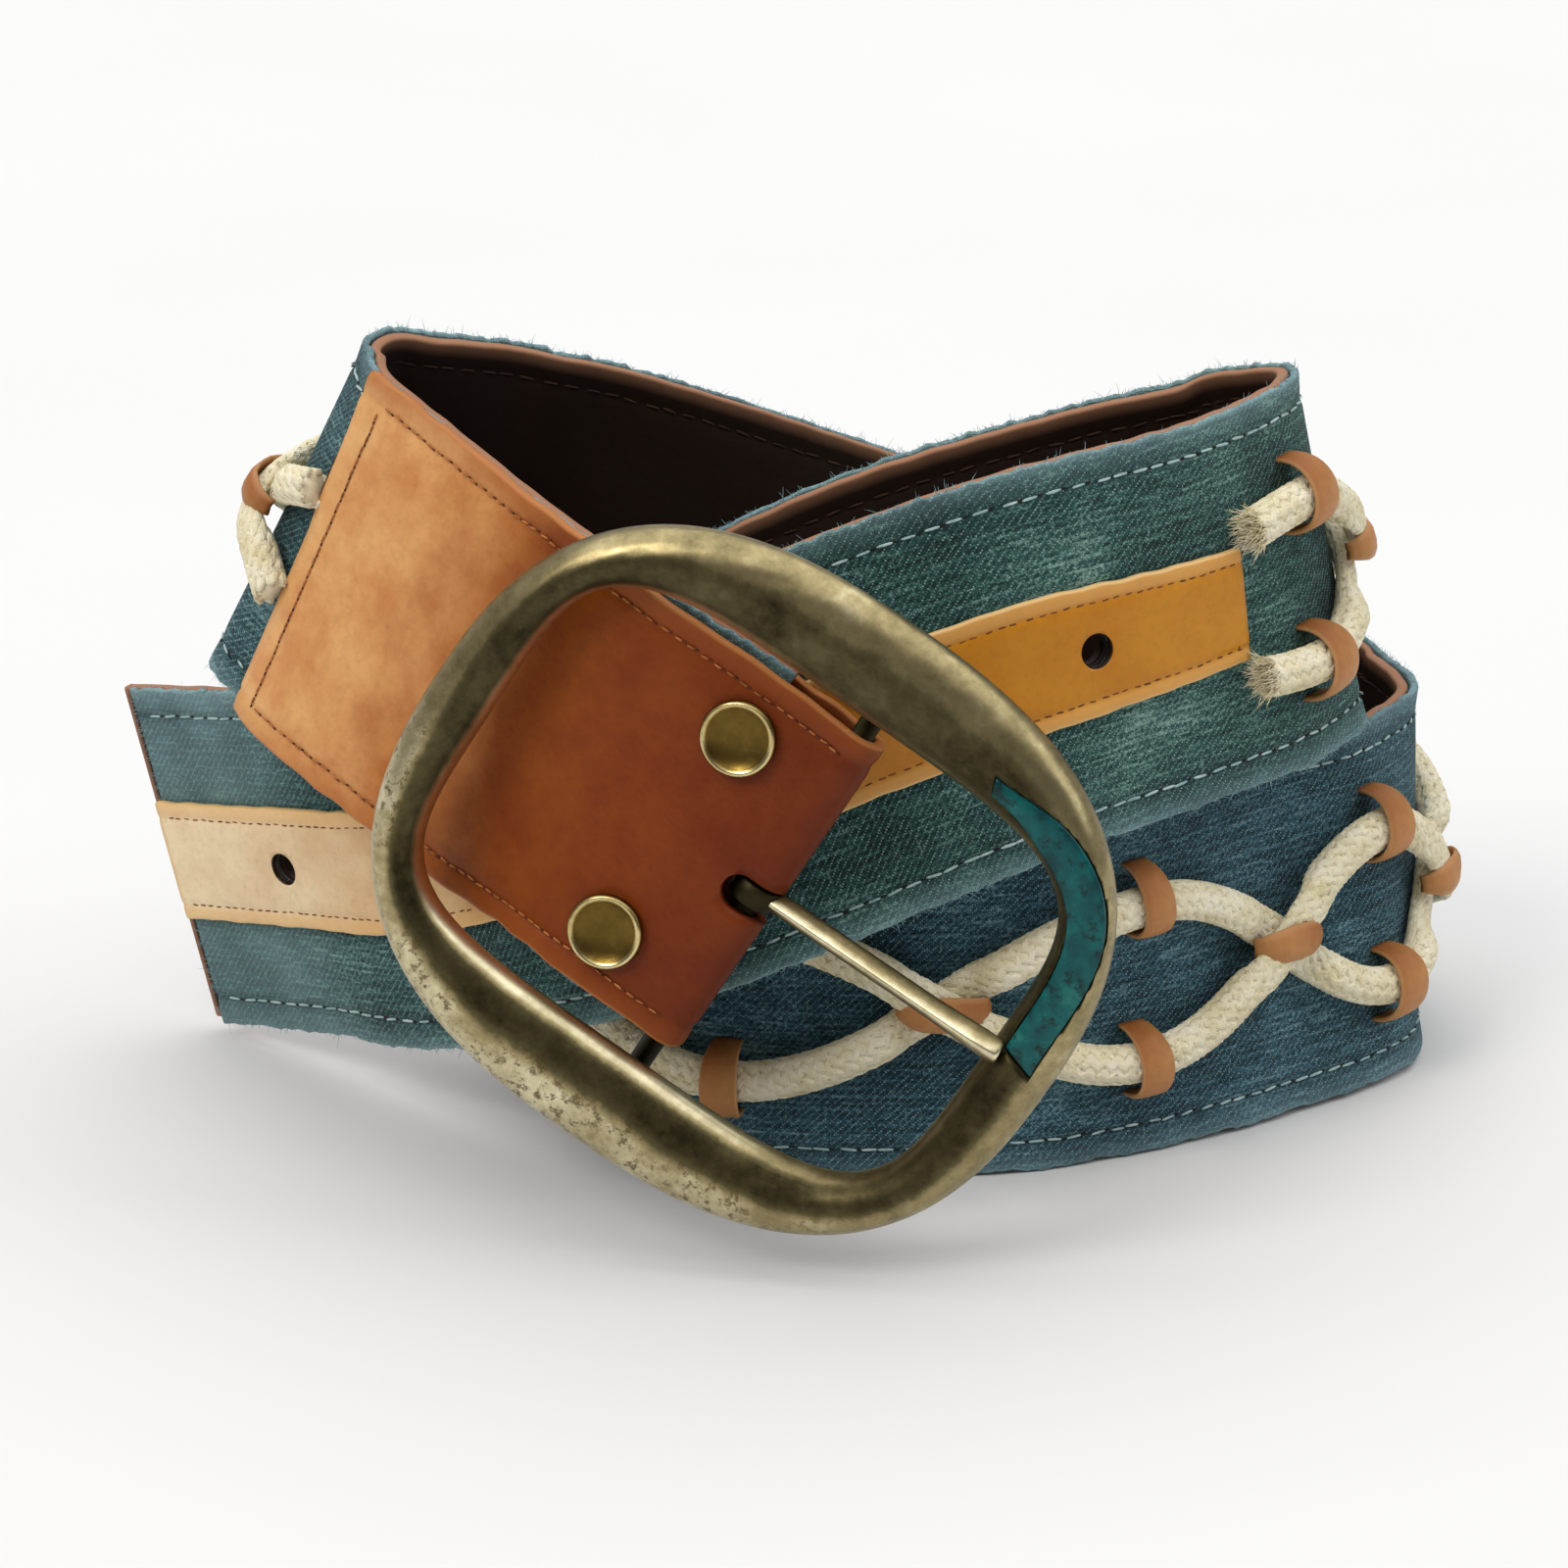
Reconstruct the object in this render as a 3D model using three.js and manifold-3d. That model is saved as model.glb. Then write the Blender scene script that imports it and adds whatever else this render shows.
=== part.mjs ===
// Wide denim and leather belt, coiled and standing on its edge, with a large ring buckle at the front.
// Millimetres, +Z up, X along the front of the coil, +Y away from the viewer, and the origin on
// the floor under the middle of the coil.

import * as THREE from 'three';
import { mergeVertices } from 'three/addons/utils/BufferGeometryUtils.js';
import Module from 'manifold-3d';

const wasm = await Module();
wasm.setup();

// Driving sizes

const STRAP_WIDTH = 76;
const CLEARANCE = 0.3;

// Middle of the coil in the measure of the route below
const MIDDLE = { x: 2.9, y: 64.4 };

// Neighbouring sections of the strap: their greatest distance, turn and twist (radians)
const LONGEST_STEP = 14;
const LARGEST_TURN = 0.2;
const LARGEST_TWIST = 0.045;
const SMALLEST_TWIST = 0.003;
const SHORTEST_STEP = 1;
const DIRECTION_REACH = 2;

// Layers of the strap as distances from its middle surface, outward positive
const DENIM = { inner: 0.15, outer: 1.65, half: STRAP_WIDTH / 2 };
const LINING = { inner: -2.45, outer: -0.15, half: STRAP_WIDTH / 2 - 0.3, tipOverhang: 4 };
const STRIP = { inner: 1.95, outer: 3.55, half: 13.2, endHalf: 11.4, widenOver: 45, length: 270 };
const TAB_LEATHER = 2.4;
const TAB_FRONT_INNER = 2.1;
const TAB_FLAP_INNER = -3;
const TAB_CORE = (TAB_FRONT_INNER + TAB_FLAP_INNER) / 2;
const TAB_FOLD_RADIUS = (TAB_FRONT_INNER - TAB_FLAP_INNER) / 2;
const TAB = {
  seam: 117, flapEnd: 40, strapStart: 17, nearHalf: 36.3, farHalf: 39, flareFrom: 15, flareTo: 70,
};
const SLOT = { width: 7.4, reach: 5.6, shift: -2.2, pastFold: 10, halfDepth: 12 };

// The strap's route from the buckle bar to the tip: centre of the strap at each bend or run,
// and how far its upper edge leans in over the coil.
const ROUTE = [
  { at: 'buckle bar', x: -4.5, y: 0.9, z: 73.6, lean: 8 },
  { at: 'tab middle', x: -33.9, y: 11.8, z: 92.5, lean: 8 },
  { at: 'tab left half', x: -61.1, y: 31.8, z: 106.5, lean: 10 },
  { at: 'tab seam', x: -90.8, y: 59.9, z: 122, lean: 15 },
  { at: 'upper left bend', x: -96.5, y: 74, z: 126, lean: 27 },
  { at: 'back run start', x: -86, y: 86, z: 124, lean: 17 },
  { at: 'back run left', x: -54, y: 97, z: 114.5, lean: 5 },
  { at: 'back run middle', x: -8, y: 113, z: 95, lean: 0 },
  { at: 'back run right', x: 40, y: 130, z: 73, lean: 0 },
  { at: 'back run end', x: 88, y: 143, z: 50, lean: 0 },
  { at: 'lower right bend, back', x: 119, y: 136, z: 40, lean: 0 },
  { at: 'lower right bend', x: 131, y: 112, z: 38.6, lean: 2 },
  { at: 'lower right bend, front', x: 124, y: 88, z: 38.3, lean: 8 },
  { at: 'front run right', x: 99, y: 67, z: 38, lean: 8 },
  { at: 'front run middle', x: 58, y: 38.5, z: 38, lean: 0 },
  { at: 'front run left', x: 8, y: 32, z: 38, lean: 0 },
  { at: 'front run end', x: -25, y: 40, z: 38.7, lean: 0 },
  { at: 'lower left bend, front', x: -43, y: 56, z: 43, lean: 0 },
  { at: 'lower left bend', x: -48, y: 73.5, z: 50, lean: 0 },
  { at: 'lower left bend, back', x: -37, y: 87.5, z: 58, lean: 0 },
  { at: 'rising run start', x: -17, y: 92, z: 70, lean: 0 },
  { at: 'rising run middle', x: 25, y: 94, z: 90.5, lean: 0 },
  { at: 'rising run right', x: 70, y: 97, z: 104, lean: 2 },
  { at: 'upper right bend, back', x: 94, y: 97, z: 110, lean: 8 },
  { at: 'upper right bend', x: 107, y: 82, z: 114.8, lean: 13 },
  { at: 'upper right bend, front', x: 101, y: 64, z: 115, lean: 9 },
  { at: 'falling run right', x: 80, y: 44, z: 113, lean: 4 },
  { at: 'falling run middle', x: 42, y: 23, z: 108, lean: 6 },
  { at: 'falling run left', x: -14, y: 17.5, z: 87.3, lean: 5 },
  { at: 'behind the tab', x: -50, y: 38.5, z: 68, lean: 0 },
  { at: 'tip, right', x: -77, y: 62, z: 53.5, lean: -3 },
  { at: 'tip, middle', x: -101, y: 85, z: 46, lean: -7 },
  { at: 'tip end', x: -129, y: 109, z: 38.8, lean: -7 },
];

// A small dent pressed into the upper edge of the back run
const DENT = { at: 183, reach: 7, depth: 2.2, halfSpan: 15.4, stride: 4.2 };

// Lacing: two cords weave between widest places and crossings, each span cut into equal halves
const LACE = {
  sides: 6, halfWidth: 4, halfHeight: 3.36, halfSpread: 16.5, seat: 2.5, step: 9, shortest: 1.6,
};
const CROSSING = {
  first: 136.5, halfWidth: 3.4, halfHeight: 1.75, flat: 6.2, rise: 6, leadIn: 36, leadOut: 60,
};
const LACE_SPANS = [
  { to: 421, halves: 8 },
  { to: 441, halves: 1 },
  { to: 470, halves: 1 },
  { to: 506, halves: 1 },
  { to: 546, halves: 1 },
  { to: 587, halves: 1 },
  { to: 830, halves: 7 },
  { to: 853, halves: 1 },
];
const KEEPER = { width: 6.5, thickness: 1.3, halfSpan: 7.3, foot: 2.5, slack: 1, steps: 5, taper: 1.06 };
const SADDLE = [
  { along: -8, under: 7, half: 0.5 },
  { along: -6.6, under: 9.6, half: 1 },
  { along: -4.6, under: 10.4, half: 3 },
  { along: 0, under: 10.6, half: 3.4 },
  { along: 4.6, under: 10.4, half: 3 },
  { along: 6.6, under: 9.6, half: 1 },
  { along: 8, under: 7, half: 0.5 },
];

// Holes down the middle of the hole strip, counted from the tip
const HOLES = { count: 7, first: 39, pitch: 32.6, diameter: 7, halfDepth: 6, sides: 8 };

// Buckle ring, measured from the bar: along the belt, across it, and out from the bar. Its hole is
// squarer than its outline and sits a little nearer the tab.
const RING_OUTLINE = { halfLength: 69, halfHeight: 61, roundness: 2.55, offset: -3.1 };
const RING_HOLE = { halfLength: 56, halfHeight: 41, roundness: 4.6, offset: -3.7 };
const RING = { back: 5.3, thickness: 7.6, swing: 4.5, segments: 36 };
const BAR = { radius: 2.2, end: 50, sides: 10, lugRadius: 3.2, lugHead: 10.3 };
const INLAY = {
  from: 1, to: 75, inset: 2.6, width: 6.8, point: 3.2, taperFrom: 0.7, depth: 2.4, proud: 0.1, steps: 15,
};
const PRONG = {
  eyeOuter: 4.7, eyeWidth: 4.6, shift: -1.6, skew: 5.6, length: 54.6, rise: 12.9, half: 2.2, flareFrom: 0.8,
  tipHalfWidth: 2.7, tipHalfHeight: 1.7,
};
const CAP = { along: 18.5, spacing: 46.5, shift: -0.4, radius: 7.4, rim: 2.6, dish: 1.3, bedHeight: 5 };

// Colours and finishes

const FINISH = {
  denim: { color: 0x46707a, roughness: 0.95, metalness: 0 },
  lining: { color: 0x2a1710, roughness: 0.6, metalness: 0 },
  tab: { color: 0xb87440, roughness: 0.5, metalness: 0 },
  strip: { color: 0xc48a3a, roughness: 0.45, metalness: 0 },
  cord: { color: 0xe0d6b0, roughness: 0.95, metalness: 0 },
  keeper: { color: 0xa5683c, roughness: 0.6, metalness: 0 },
  brass: { color: 0x8c7d4a, roughness: 0.4, metalness: 0.9 },
  cap: { color: 0xa08c46, roughness: 0.3, metalness: 0.9 },
  turquoise: { color: 0x0f6e6c, roughness: 0.3, metalness: 0 },
};

const belt = new THREE.Group();
belt.name = 'denim_leather_belt';
belt.position.set(-MIDDLE.x, -MIDDLE.y, 0);

function addPiece(name, geometry, finish) {
  const mesh = new THREE.Mesh(geometry, new THREE.MeshStandardMaterial(FINISH[finish]));
  mesh.name = name;
  belt.add(mesh);
}

// Route of the strap: a centripetal Catmull-Rom curve, walked by its arc length

const WALK_PER_SPAN = 24;

function routePoint(index, part) {
  const row = (k) => new THREE.Vector3(ROUTE[k].x, ROUTE[k].y, ROUTE[k].z);
  const p1 = row(index);
  const p2 = row(index + 1);
  const p0 = index > 0 ? row(index - 1) : p1.clone().multiplyScalar(2).sub(p2);
  const p3 = index + 2 < ROUTE.length ? row(index + 2) : p2.clone().multiplyScalar(2).sub(p1);
  const k1 = Math.sqrt(p0.distanceTo(p1));
  const k2 = k1 + Math.sqrt(p1.distanceTo(p2));
  const k3 = k2 + Math.sqrt(p2.distanceTo(p3));
  const t = k1 + (k2 - k1) * part;
  const mix = (a, b, ta, tb) => a.clone().lerp(b, (t - ta) / (tb - ta));
  const a1 = mix(p0, p1, 0, k1);
  const a2 = mix(p1, p2, k1, k2);
  const a3 = mix(p2, p3, k2, k3);
  return mix(mix(a1, a2, 0, k2), mix(a2, a3, k1, k3), k1, k2);
}

function walkRoute() {
  const walk = [];
  let travelled = 0;
  for (let index = 0; index < ROUTE.length - 1; index += 1) {
    for (let k = 0; k < WALK_PER_SPAN; k += 1) {
      const part = k / WALK_PER_SPAN;
      const eased = part * part * (3 - 2 * part);
      const lean = ROUTE[index].lean + (ROUTE[index + 1].lean - ROUTE[index].lean) * eased;
      const point = routePoint(index, part);
      point.z = Math.max(point.z, STRAP_WIDTH / 2);
      walk.push({ point, lean });
    }
  }
  const last = ROUTE[ROUTE.length - 1];
  walk.push({ point: new THREE.Vector3(last.x, last.y, last.z), lean: last.lean });
  walk.forEach((stop, k) => {
    travelled += k > 0 ? stop.point.distanceTo(walk[k - 1].point) : 0;
    stop.s = travelled;
  });
  return walk;
}

const WALK = walkRoute();
const STRAP_LENGTH = WALK[WALK.length - 1].s;

function centreAt(s) {
  const inside = THREE.MathUtils.clamp(s, 0, STRAP_LENGTH);
  let k = WALK.findIndex((stop) => stop.s >= inside);
  k = Math.max(k, 1);
  const a = WALK[k - 1];
  const b = WALK[k];
  const part = (s - a.s) / (b.s - a.s);
  return {
    point: a.point.clone().lerp(b.point, part),
    lean: a.lean + (b.lean - a.lean) * THREE.MathUtils.clamp(part, 0, 1),
  };
}

// Directions of the strap at a distance s from the bar: along it, across it (up), and outward
function smoothFrame(s) {
  const { point, lean } = centreAt(s);
  const ahead = centreAt(s + DIRECTION_REACH).point;
  const along = ahead.sub(centreAt(s - DIRECTION_REACH).point).normalize();
  const up = new THREE.Vector3(0, 0, 1).addScaledVector(along, -along.z).normalize();
  const outward = new THREE.Vector3().crossVectors(up, along);
  const angle = THREE.MathUtils.degToRad(lean);
  const across = up.multiplyScalar(Math.cos(angle)).addScaledVector(outward, -Math.sin(angle));
  outward.crossVectors(across, along).normalize();
  return { s, point, along, across, outward };
}

function twistBetween(a, b) {
  return Math.abs(a.across.dot(b.outward) - a.outward.dot(b.across)) / 2;
}

// How much of the allowed turn or twist lies between two sections
function strain(a, b) {
  return Math.max(a.along.angleTo(b.along) / LARGEST_TURN, twistBetween(a, b) / LARGEST_TWIST);
}

// Sections of the strap, closer together round the bends and at the dent
function cutSections() {
  const list = [smoothFrame(0)];
  while (list[list.length - 1].s < STRAP_LENGTH) {
    const here = list[list.length - 1];
    let stride = Math.abs(here.s - DENT.at) < DENT.halfSpan ? DENT.stride : LONGEST_STEP;
    while (strain(here, smoothFrame(Math.min(here.s + stride, STRAP_LENGTH))) > 1) {
      stride *= 0.85;
    }
    const left = STRAP_LENGTH - here.s;
    list.push(smoothFrame(left < stride * 1.3 ? STRAP_LENGTH : here.s + stride));
  }
  return list;
}

const SECTIONS = cutSections();

function spanAt(s) {
  const found = SECTIONS.findIndex((section) => section.s >= s);
  const k = found < 0 ? SECTIONS.length - 1 : Math.max(found, 1);
  const a = SECTIONS[k - 1];
  const b = SECTIONS[k];
  return { a, b, part: (s - a.s) / (b.s - a.s) };
}

// A point of the strap on one of its own sections
function sectionPoint(section, w, n) {
  const pressed = DENT.depth * Math.exp(-(((section.s - DENT.at) / DENT.reach) ** 2));
  const dent = pressed * Math.max(0, w / DENIM.half);
  const { point, across, outward } = section;
  return point.clone().addScaledVector(across, w).addScaledVector(outward, n - dent);
}

// A point of the faceted strap: s from the bar, w across from the middle, n out from the middle
// surface. Between two sections it lies on one of the two facets that meet along the diagonal.
function strapPoint(s, w, n) {
  const { a, b, part } = spanAt(s);
  const height = (w / DENIM.half + 1) / 2;
  const corner = (section, side) => sectionPoint(section, side * DENIM.half, n);
  const base = corner(a, -1);
  const along = height < part ? corner(b, -1).sub(base) : corner(b, 1).sub(corner(a, 1));
  const across = height < part ? corner(b, 1).sub(corner(b, -1)) : corner(a, 1).sub(base);
  return base.clone().addScaledVector(along, part).addScaledVector(across, height);
}

// Closed solid through a row of sections, each a convex loop of the same number of points.
// Each quad's diagonal leans one way in the loop's first half and the other way in its second,
// so that the inner and outer faces of a twisted layer crease along the same line.
function loft(sections, closed = false) {
  const count = sections[0].length;
  const positions = sections.flat().flatMap((p) => [p.x, p.y, p.z]);
  const triangles = [];
  const last = closed ? sections.length : sections.length - 1;
  for (let k = 0; k < last; k += 1) {
    const a = k * count;
    const b = ((k + 1) % sections.length) * count;
    for (let j = 0; j < count; j += 1) {
      const next = (j + 1) % count;
      if (j < count / 2) {
        triangles.push(a + j, a + next, b + next, a + j, b + next, b + j);
      } else {
        triangles.push(a + j, a + next, b + j, a + next, b + next, b + j);
      }
    }
  }
  if (!closed) {
    const end = (sections.length - 1) * count;
    for (let j = 1; j < count - 1; j += 1) {
      triangles.push(0, j + 1, j, end, end + j, end + j + 1);
    }
  }
  const geometry = new THREE.BufferGeometry();
  geometry.setAttribute('position', new THREE.Float32BufferAttribute(positions, 3));
  geometry.setIndex(triangles);
  return facingOut(geometry);
}

function facingOut(geometry) {
  const position = geometry.getAttribute('position');
  const index = geometry.getIndex();
  const a = new THREE.Vector3();
  const b = new THREE.Vector3();
  const c = new THREE.Vector3();
  let volume = 0;
  for (let k = 0; k < index.count; k += 3) {
    a.fromBufferAttribute(position, index.getX(k));
    b.fromBufferAttribute(position, index.getX(k + 1));
    c.fromBufferAttribute(position, index.getX(k + 2));
    volume += a.dot(b.cross(c));
  }
  if (volume < 0) {
    for (let k = 0; k < index.count; k += 3) {
      const first = index.getX(k);
      index.setX(k, index.getX(k + 1));
      index.setX(k + 1, first);
    }
  }
  return geometry;
}

// Joining and cutting

function solidOf(geometry) {
  const plain = geometry.clone();
  plain.deleteAttribute('normal');
  plain.deleteAttribute('uv');
  const merged = mergeVertices(plain, 1e-4);
  const mesh = new wasm.Mesh({
    numProp: 3,
    vertProperties: new Float32Array(merged.getAttribute('position').array),
    triVerts: new Uint32Array(merged.getIndex().array),
  });
  return new wasm.Manifold(mesh);
}

function geometryOf(solid) {
  const mesh = solid.getMesh();
  const geometry = new THREE.BufferGeometry();
  geometry.setAttribute('position', new THREE.Float32BufferAttribute(mesh.vertProperties, 3));
  geometry.setIndex(Array.from(mesh.triVerts));
  return geometry;
}

function cutAll(geometry, cutters) {
  let solid = solidOf(geometry);
  cutters.forEach((cutter) => {
    solid = solid.subtract(solidOf(cutter));
  });
  return geometryOf(solid);
}

// Distances from the bar of every strap section between two ends, and the ends
function stations(from, to) {
  const between = SECTIONS.map((section) => section.s)
    .filter((s) => s > from + SHORTEST_STEP && s < to - SHORTEST_STEP);
  return [from, ...between, to];
}

// The same with the places between two sections where a narrower layer meets the crease
function creaseStations(from, to, half) {
  const list = stations(from, to);
  const near = (1 - half / DENIM.half) / 2;
  const extra = SECTIONS.slice(1).flatMap((section, k) => {
    const start = SECTIONS[k].s;
    if (twistBetween(SECTIONS[k], section) < SMALLEST_TWIST) {
      return [];
    }
    return [near, 1 - near].map((part) => start + (section.s - start) * part);
  });
  const inside = extra.filter((s) => s > from + SHORTEST_STEP && s < to - SHORTEST_STEP);
  return [...list, ...inside].sort((a, b) => a - b);
}

// Flat strap layer between two distances from the middle surface
function ribbon(places, layer, halfAt = () => layer.half) {
  const section = (s) => [
    strapPoint(s, -halfAt(s), layer.inner),
    strapPoint(s, halfAt(s), layer.inner),
    strapPoint(s, halfAt(s), layer.outer),
    strapPoint(s, -halfAt(s), layer.outer),
  ];
  return loft(places.map(section));
}

// Half width of the hole strip, which is cut a little narrower at its sewn end
function stripHalf(s) {
  const part = Math.min(1, (s - STRAP_LENGTH + STRIP.length) / STRIP.widenOver);
  return STRIP.endHalf + (STRIP.half - STRIP.endHalf) * part;
}

function holePunches() {
  return Array.from({ length: HOLES.count }, (unused, k) => {
    const s = STRAP_LENGTH - HOLES.first - HOLES.pitch * k;
    const inside = strapPoint(s, 0, -HOLES.halfDepth);
    const outside = strapPoint(s, 0, HOLES.halfDepth);
    return rod(inside, outside, HOLES.diameter / 2, HOLES.sides);
  });
}

function addStrap() {
  const punches = holePunches();
  const end = STRAP_LENGTH - LINING.tipOverhang;
  const denim = ribbon(stations(TAB.strapStart, end), DENIM);
  const lining = ribbon(stations(TAB.strapStart, STRAP_LENGTH), LINING);
  const stripPlaces = creaseStations(STRAP_LENGTH - STRIP.length, end, STRIP.half);
  const strip = ribbon(stripPlaces, STRIP, stripHalf);
  addPiece('denim_band', cutAll(denim, punches), 'denim');
  addPiece('leather_lining', cutAll(lining, punches), 'lining');
  addPiece('hole_strip', cutAll(strip, punches), 'strip');
}

// Buckle tab: leather folded round the bar, a front face to the seam and a short flap behind

function tabPath() {
  const front = stations(0, TAB.seam).reverse().map((s) => ({ s, inner: TAB_FRONT_INNER, sign: 1 }));
  const bends = [30, 60, 90, 120, 150].map((degrees) => ({ bend: THREE.MathUtils.degToRad(degrees) }));
  const flap = stations(0, TAB.flapEnd).map((s) => ({ s, inner: TAB_FLAP_INNER, sign: -1 }));
  return [...front, ...bends, ...flap];
}

// A point near the bar, measured straight from the bar's own frame
const BAR_FRAME = smoothFrame(0);
BAR_FRAME.point.addScaledVector(BAR_FRAME.outward, TAB_CORE);

function barPoint(u, v, n) {
  return BAR_FRAME.point.clone()
    .addScaledVector(BAR_FRAME.along, -u)
    .addScaledVector(BAR_FRAME.across, v)
    .addScaledVector(BAR_FRAME.outward, n);
}

function tabHalf(s) {
  const flare = THREE.MathUtils.smoothstep(s, TAB.flareFrom, TAB.flareTo);
  return THREE.MathUtils.lerp(TAB.nearHalf, TAB.farHalf, flare);
}

function tabSection(stop) {
  const half = stop.bend === undefined ? tabHalf(stop.s) : TAB.nearHalf;
  const reach = (radius, w) => barPoint(radius * Math.sin(stop.bend), w, radius * Math.cos(stop.bend));
  const at = stop.bend === undefined
    ? (depth, w) => strapPoint(stop.s, w, stop.inner + stop.sign * depth)
    : (depth, w) => reach(TAB_FOLD_RADIUS + depth, w);
  return [at(0, half), at(0, -half), at(TAB_LEATHER, -half), at(TAB_LEATHER, half)];
}

function slotCutter() {
  const half = SLOT.width / 2;
  const outline = new THREE.Shape();
  outline.moveTo(-SLOT.pastFold, -half);
  outline.lineTo(SLOT.reach - half, -half);
  outline.absarc(SLOT.reach - half, 0, half, -Math.PI / 2, Math.PI / 2, false);
  outline.lineTo(-SLOT.pastFold, half);
  outline.closePath();
  const solid = { depth: 2 * SLOT.halfDepth, bevelEnabled: false, curveSegments: 5 };
  const cutter = new THREE.ExtrudeGeometry(outline, solid);
  cutter.translate(0, 0, -SLOT.halfDepth);
  const { along, across, outward, point } = BAR_FRAME;
  const middle = point.clone().addScaledVector(across, SLOT.shift);
  const place = new THREE.Matrix4().makeBasis(along, across.clone().negate(), outward).setPosition(middle);
  cutter.applyMatrix4(place);
  return facingOut(mergeVertices(cutter.deleteAttribute('normal').deleteAttribute('uv')));
}

// Where a snap cap sits on the tab: side 1 above the slot, -1 below it
function capSeat(side, out) {
  const w = CAP.shift + side * CAP.spacing / 2;
  return strapPoint(CAP.along, w, TAB_FRONT_INNER + TAB_LEATHER + out);
}

// The pressed-in bed of a snap cap
function capBed(side) {
  return rod(capSeat(side, 0), capSeat(side, CAP.bedHeight), CAP.radius + CLEARANCE, 14);
}

function addTab() {
  const cutters = [slotCutter(), capBed(1), capBed(-1)];
  addPiece('buckle_tab', cutAll(loft(tabPath().map(tabSection)), cutters), 'tab');
}

// Buckle: the ring's frame is the bar's frame turned back about the bar

const RING_FRAME = (() => {
  const swing = THREE.MathUtils.degToRad(RING.swing);
  const turn = new THREE.Quaternion().setFromAxisAngle(BAR_FRAME.across, swing);
  return {
    point: BAR_FRAME.point,
    along: BAR_FRAME.along.clone().negate().applyQuaternion(turn),
    across: BAR_FRAME.across.clone(),
    outward: BAR_FRAME.outward.clone().applyQuaternion(turn),
  };
})();

function ringPoint(u, v, n) {
  return RING_FRAME.point.clone()
    .addScaledVector(RING_FRAME.along, u)
    .addScaledVector(RING_FRAME.across, v)
    .addScaledVector(RING_FRAME.outward, n);
}

// A point of one of the ring's two edges, each a rounded rectangle as a superellipse
function edgePoint(angle, edge) {
  const power = 2 / edge.roundness;
  const c = Math.cos(angle);
  const s = Math.sin(angle);
  return {
    u: edge.offset + edge.halfLength * Math.sign(c) * Math.abs(c) ** power,
    v: edge.halfHeight * Math.sign(s) * Math.abs(s) ** power,
  };
}

// A point of the ring: `across` runs from 0 at the hole to 1 at the outside
function bandPoint(angle, across, n) {
  const outer = edgePoint(angle, RING_OUTLINE);
  const inner = edgePoint(angle, RING_HOLE);
  const u = THREE.MathUtils.lerp(inner.u, outer.u, across);
  const v = THREE.MathUtils.lerp(inner.v, outer.v, across);
  return ringPoint(u, v, n);
}

// Section of the ring: a hollow back between two lips, and a domed front
const RING_SECTION = [
  { across: 0.03, out: 0 }, { across: 0.14, out: 0 }, { across: 0.2, out: 0.5 },
  { across: 0.8, out: 0.5 }, { across: 0.86, out: 0 }, { across: 0.97, out: 0 },
  { across: 1, out: 0.16 }, { across: 0.97, out: 0.48 }, { across: 0.84, out: 0.8 },
  { across: 0.64, out: 0.97 }, { across: 0.42, out: 1 }, { across: 0.2, out: 0.84 },
  { across: 0.05, out: 0.5 }, { across: 0, out: 0.18 },
];

function ringBody() {
  const sections = Array.from({ length: RING.segments }, (unused, k) => {
    const angle = (2 * Math.PI * k) / RING.segments;
    const height = (out) => RING.back + RING.thickness * out;
    return RING_SECTION.map(({ across, out }) => bandPoint(angle, across, height(out)));
  });
  return loft(sections, true);
}

function rod(from, to, radius, sides) {
  const geometry = new THREE.CylinderGeometry(radius, radius, from.distanceTo(to), sides);
  const axis = to.clone().sub(from).normalize();
  geometry.applyQuaternion(new THREE.Quaternion().setFromUnitVectors(new THREE.Vector3(0, 1, 0), axis));
  const middle = from.clone().lerp(to, 0.5);
  return geometry.translate(middle.x, middle.y, middle.z);
}

// The inlay at the right end of the ring, grown on every side by `grow`: it keeps its width and
// narrows to a blunt end at the top
function inlayBand(grow, floor, top) {
  const sections = Array.from({ length: INLAY.steps + 1 }, (unused, k) => {
    const part = k / INLAY.steps;
    const degrees = THREE.MathUtils.lerp(INLAY.from - grow, INLAY.to + grow, part);
    const angle = THREE.MathUtils.degToRad(degrees);
    const width = bandPoint(angle, 0, 0).distanceTo(bandPoint(angle, 1, 0));
    const taper = THREE.MathUtils.smoothstep(part, INLAY.taperFrom, 1);
    const half = THREE.MathUtils.lerp(INLAY.width, INLAY.point, taper) / 2 + grow;
    const middle = INLAY.inset + INLAY.width / 2;
    const near = (middle - half) / width;
    const far = (middle + half) / width;
    return [
      bandPoint(angle, near, floor), bandPoint(angle, far, floor),
      bandPoint(angle, far, top), bandPoint(angle, near, top),
    ];
  });
  return loft(sections);
}

function addBuckle() {
  const crown = RING.back + RING.thickness;
  const bed = crown - INLAY.depth;
  const bar = rod(ringPoint(0, -BAR.end, 0), ringPoint(0, BAR.end, 0), BAR.radius, BAR.sides);
  let frame = solidOf(ringBody()).add(solidOf(bar));
  [-1, 1].forEach((side) => {
    const foot = ringPoint(0, side * BAR.end, -BAR.radius);
    const head = ringPoint(0, side * BAR.end, BAR.lugHead);
    frame = frame.add(solidOf(rod(foot, head, BAR.lugRadius, BAR.sides)));
  });
  frame = frame.subtract(solidOf(inlayBand(CLEARANCE, bed, crown + INLAY.depth)));
  addPiece('buckle_frame', geometryOf(frame), 'brass');
  addPiece('turquoise_inlay', inlayBand(0, bed + CLEARANCE, crown + INLAY.proud), 'turquoise');
}

// Prong: an eye round the bar and a flaring shank that rests on the ring's inner slope

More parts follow.
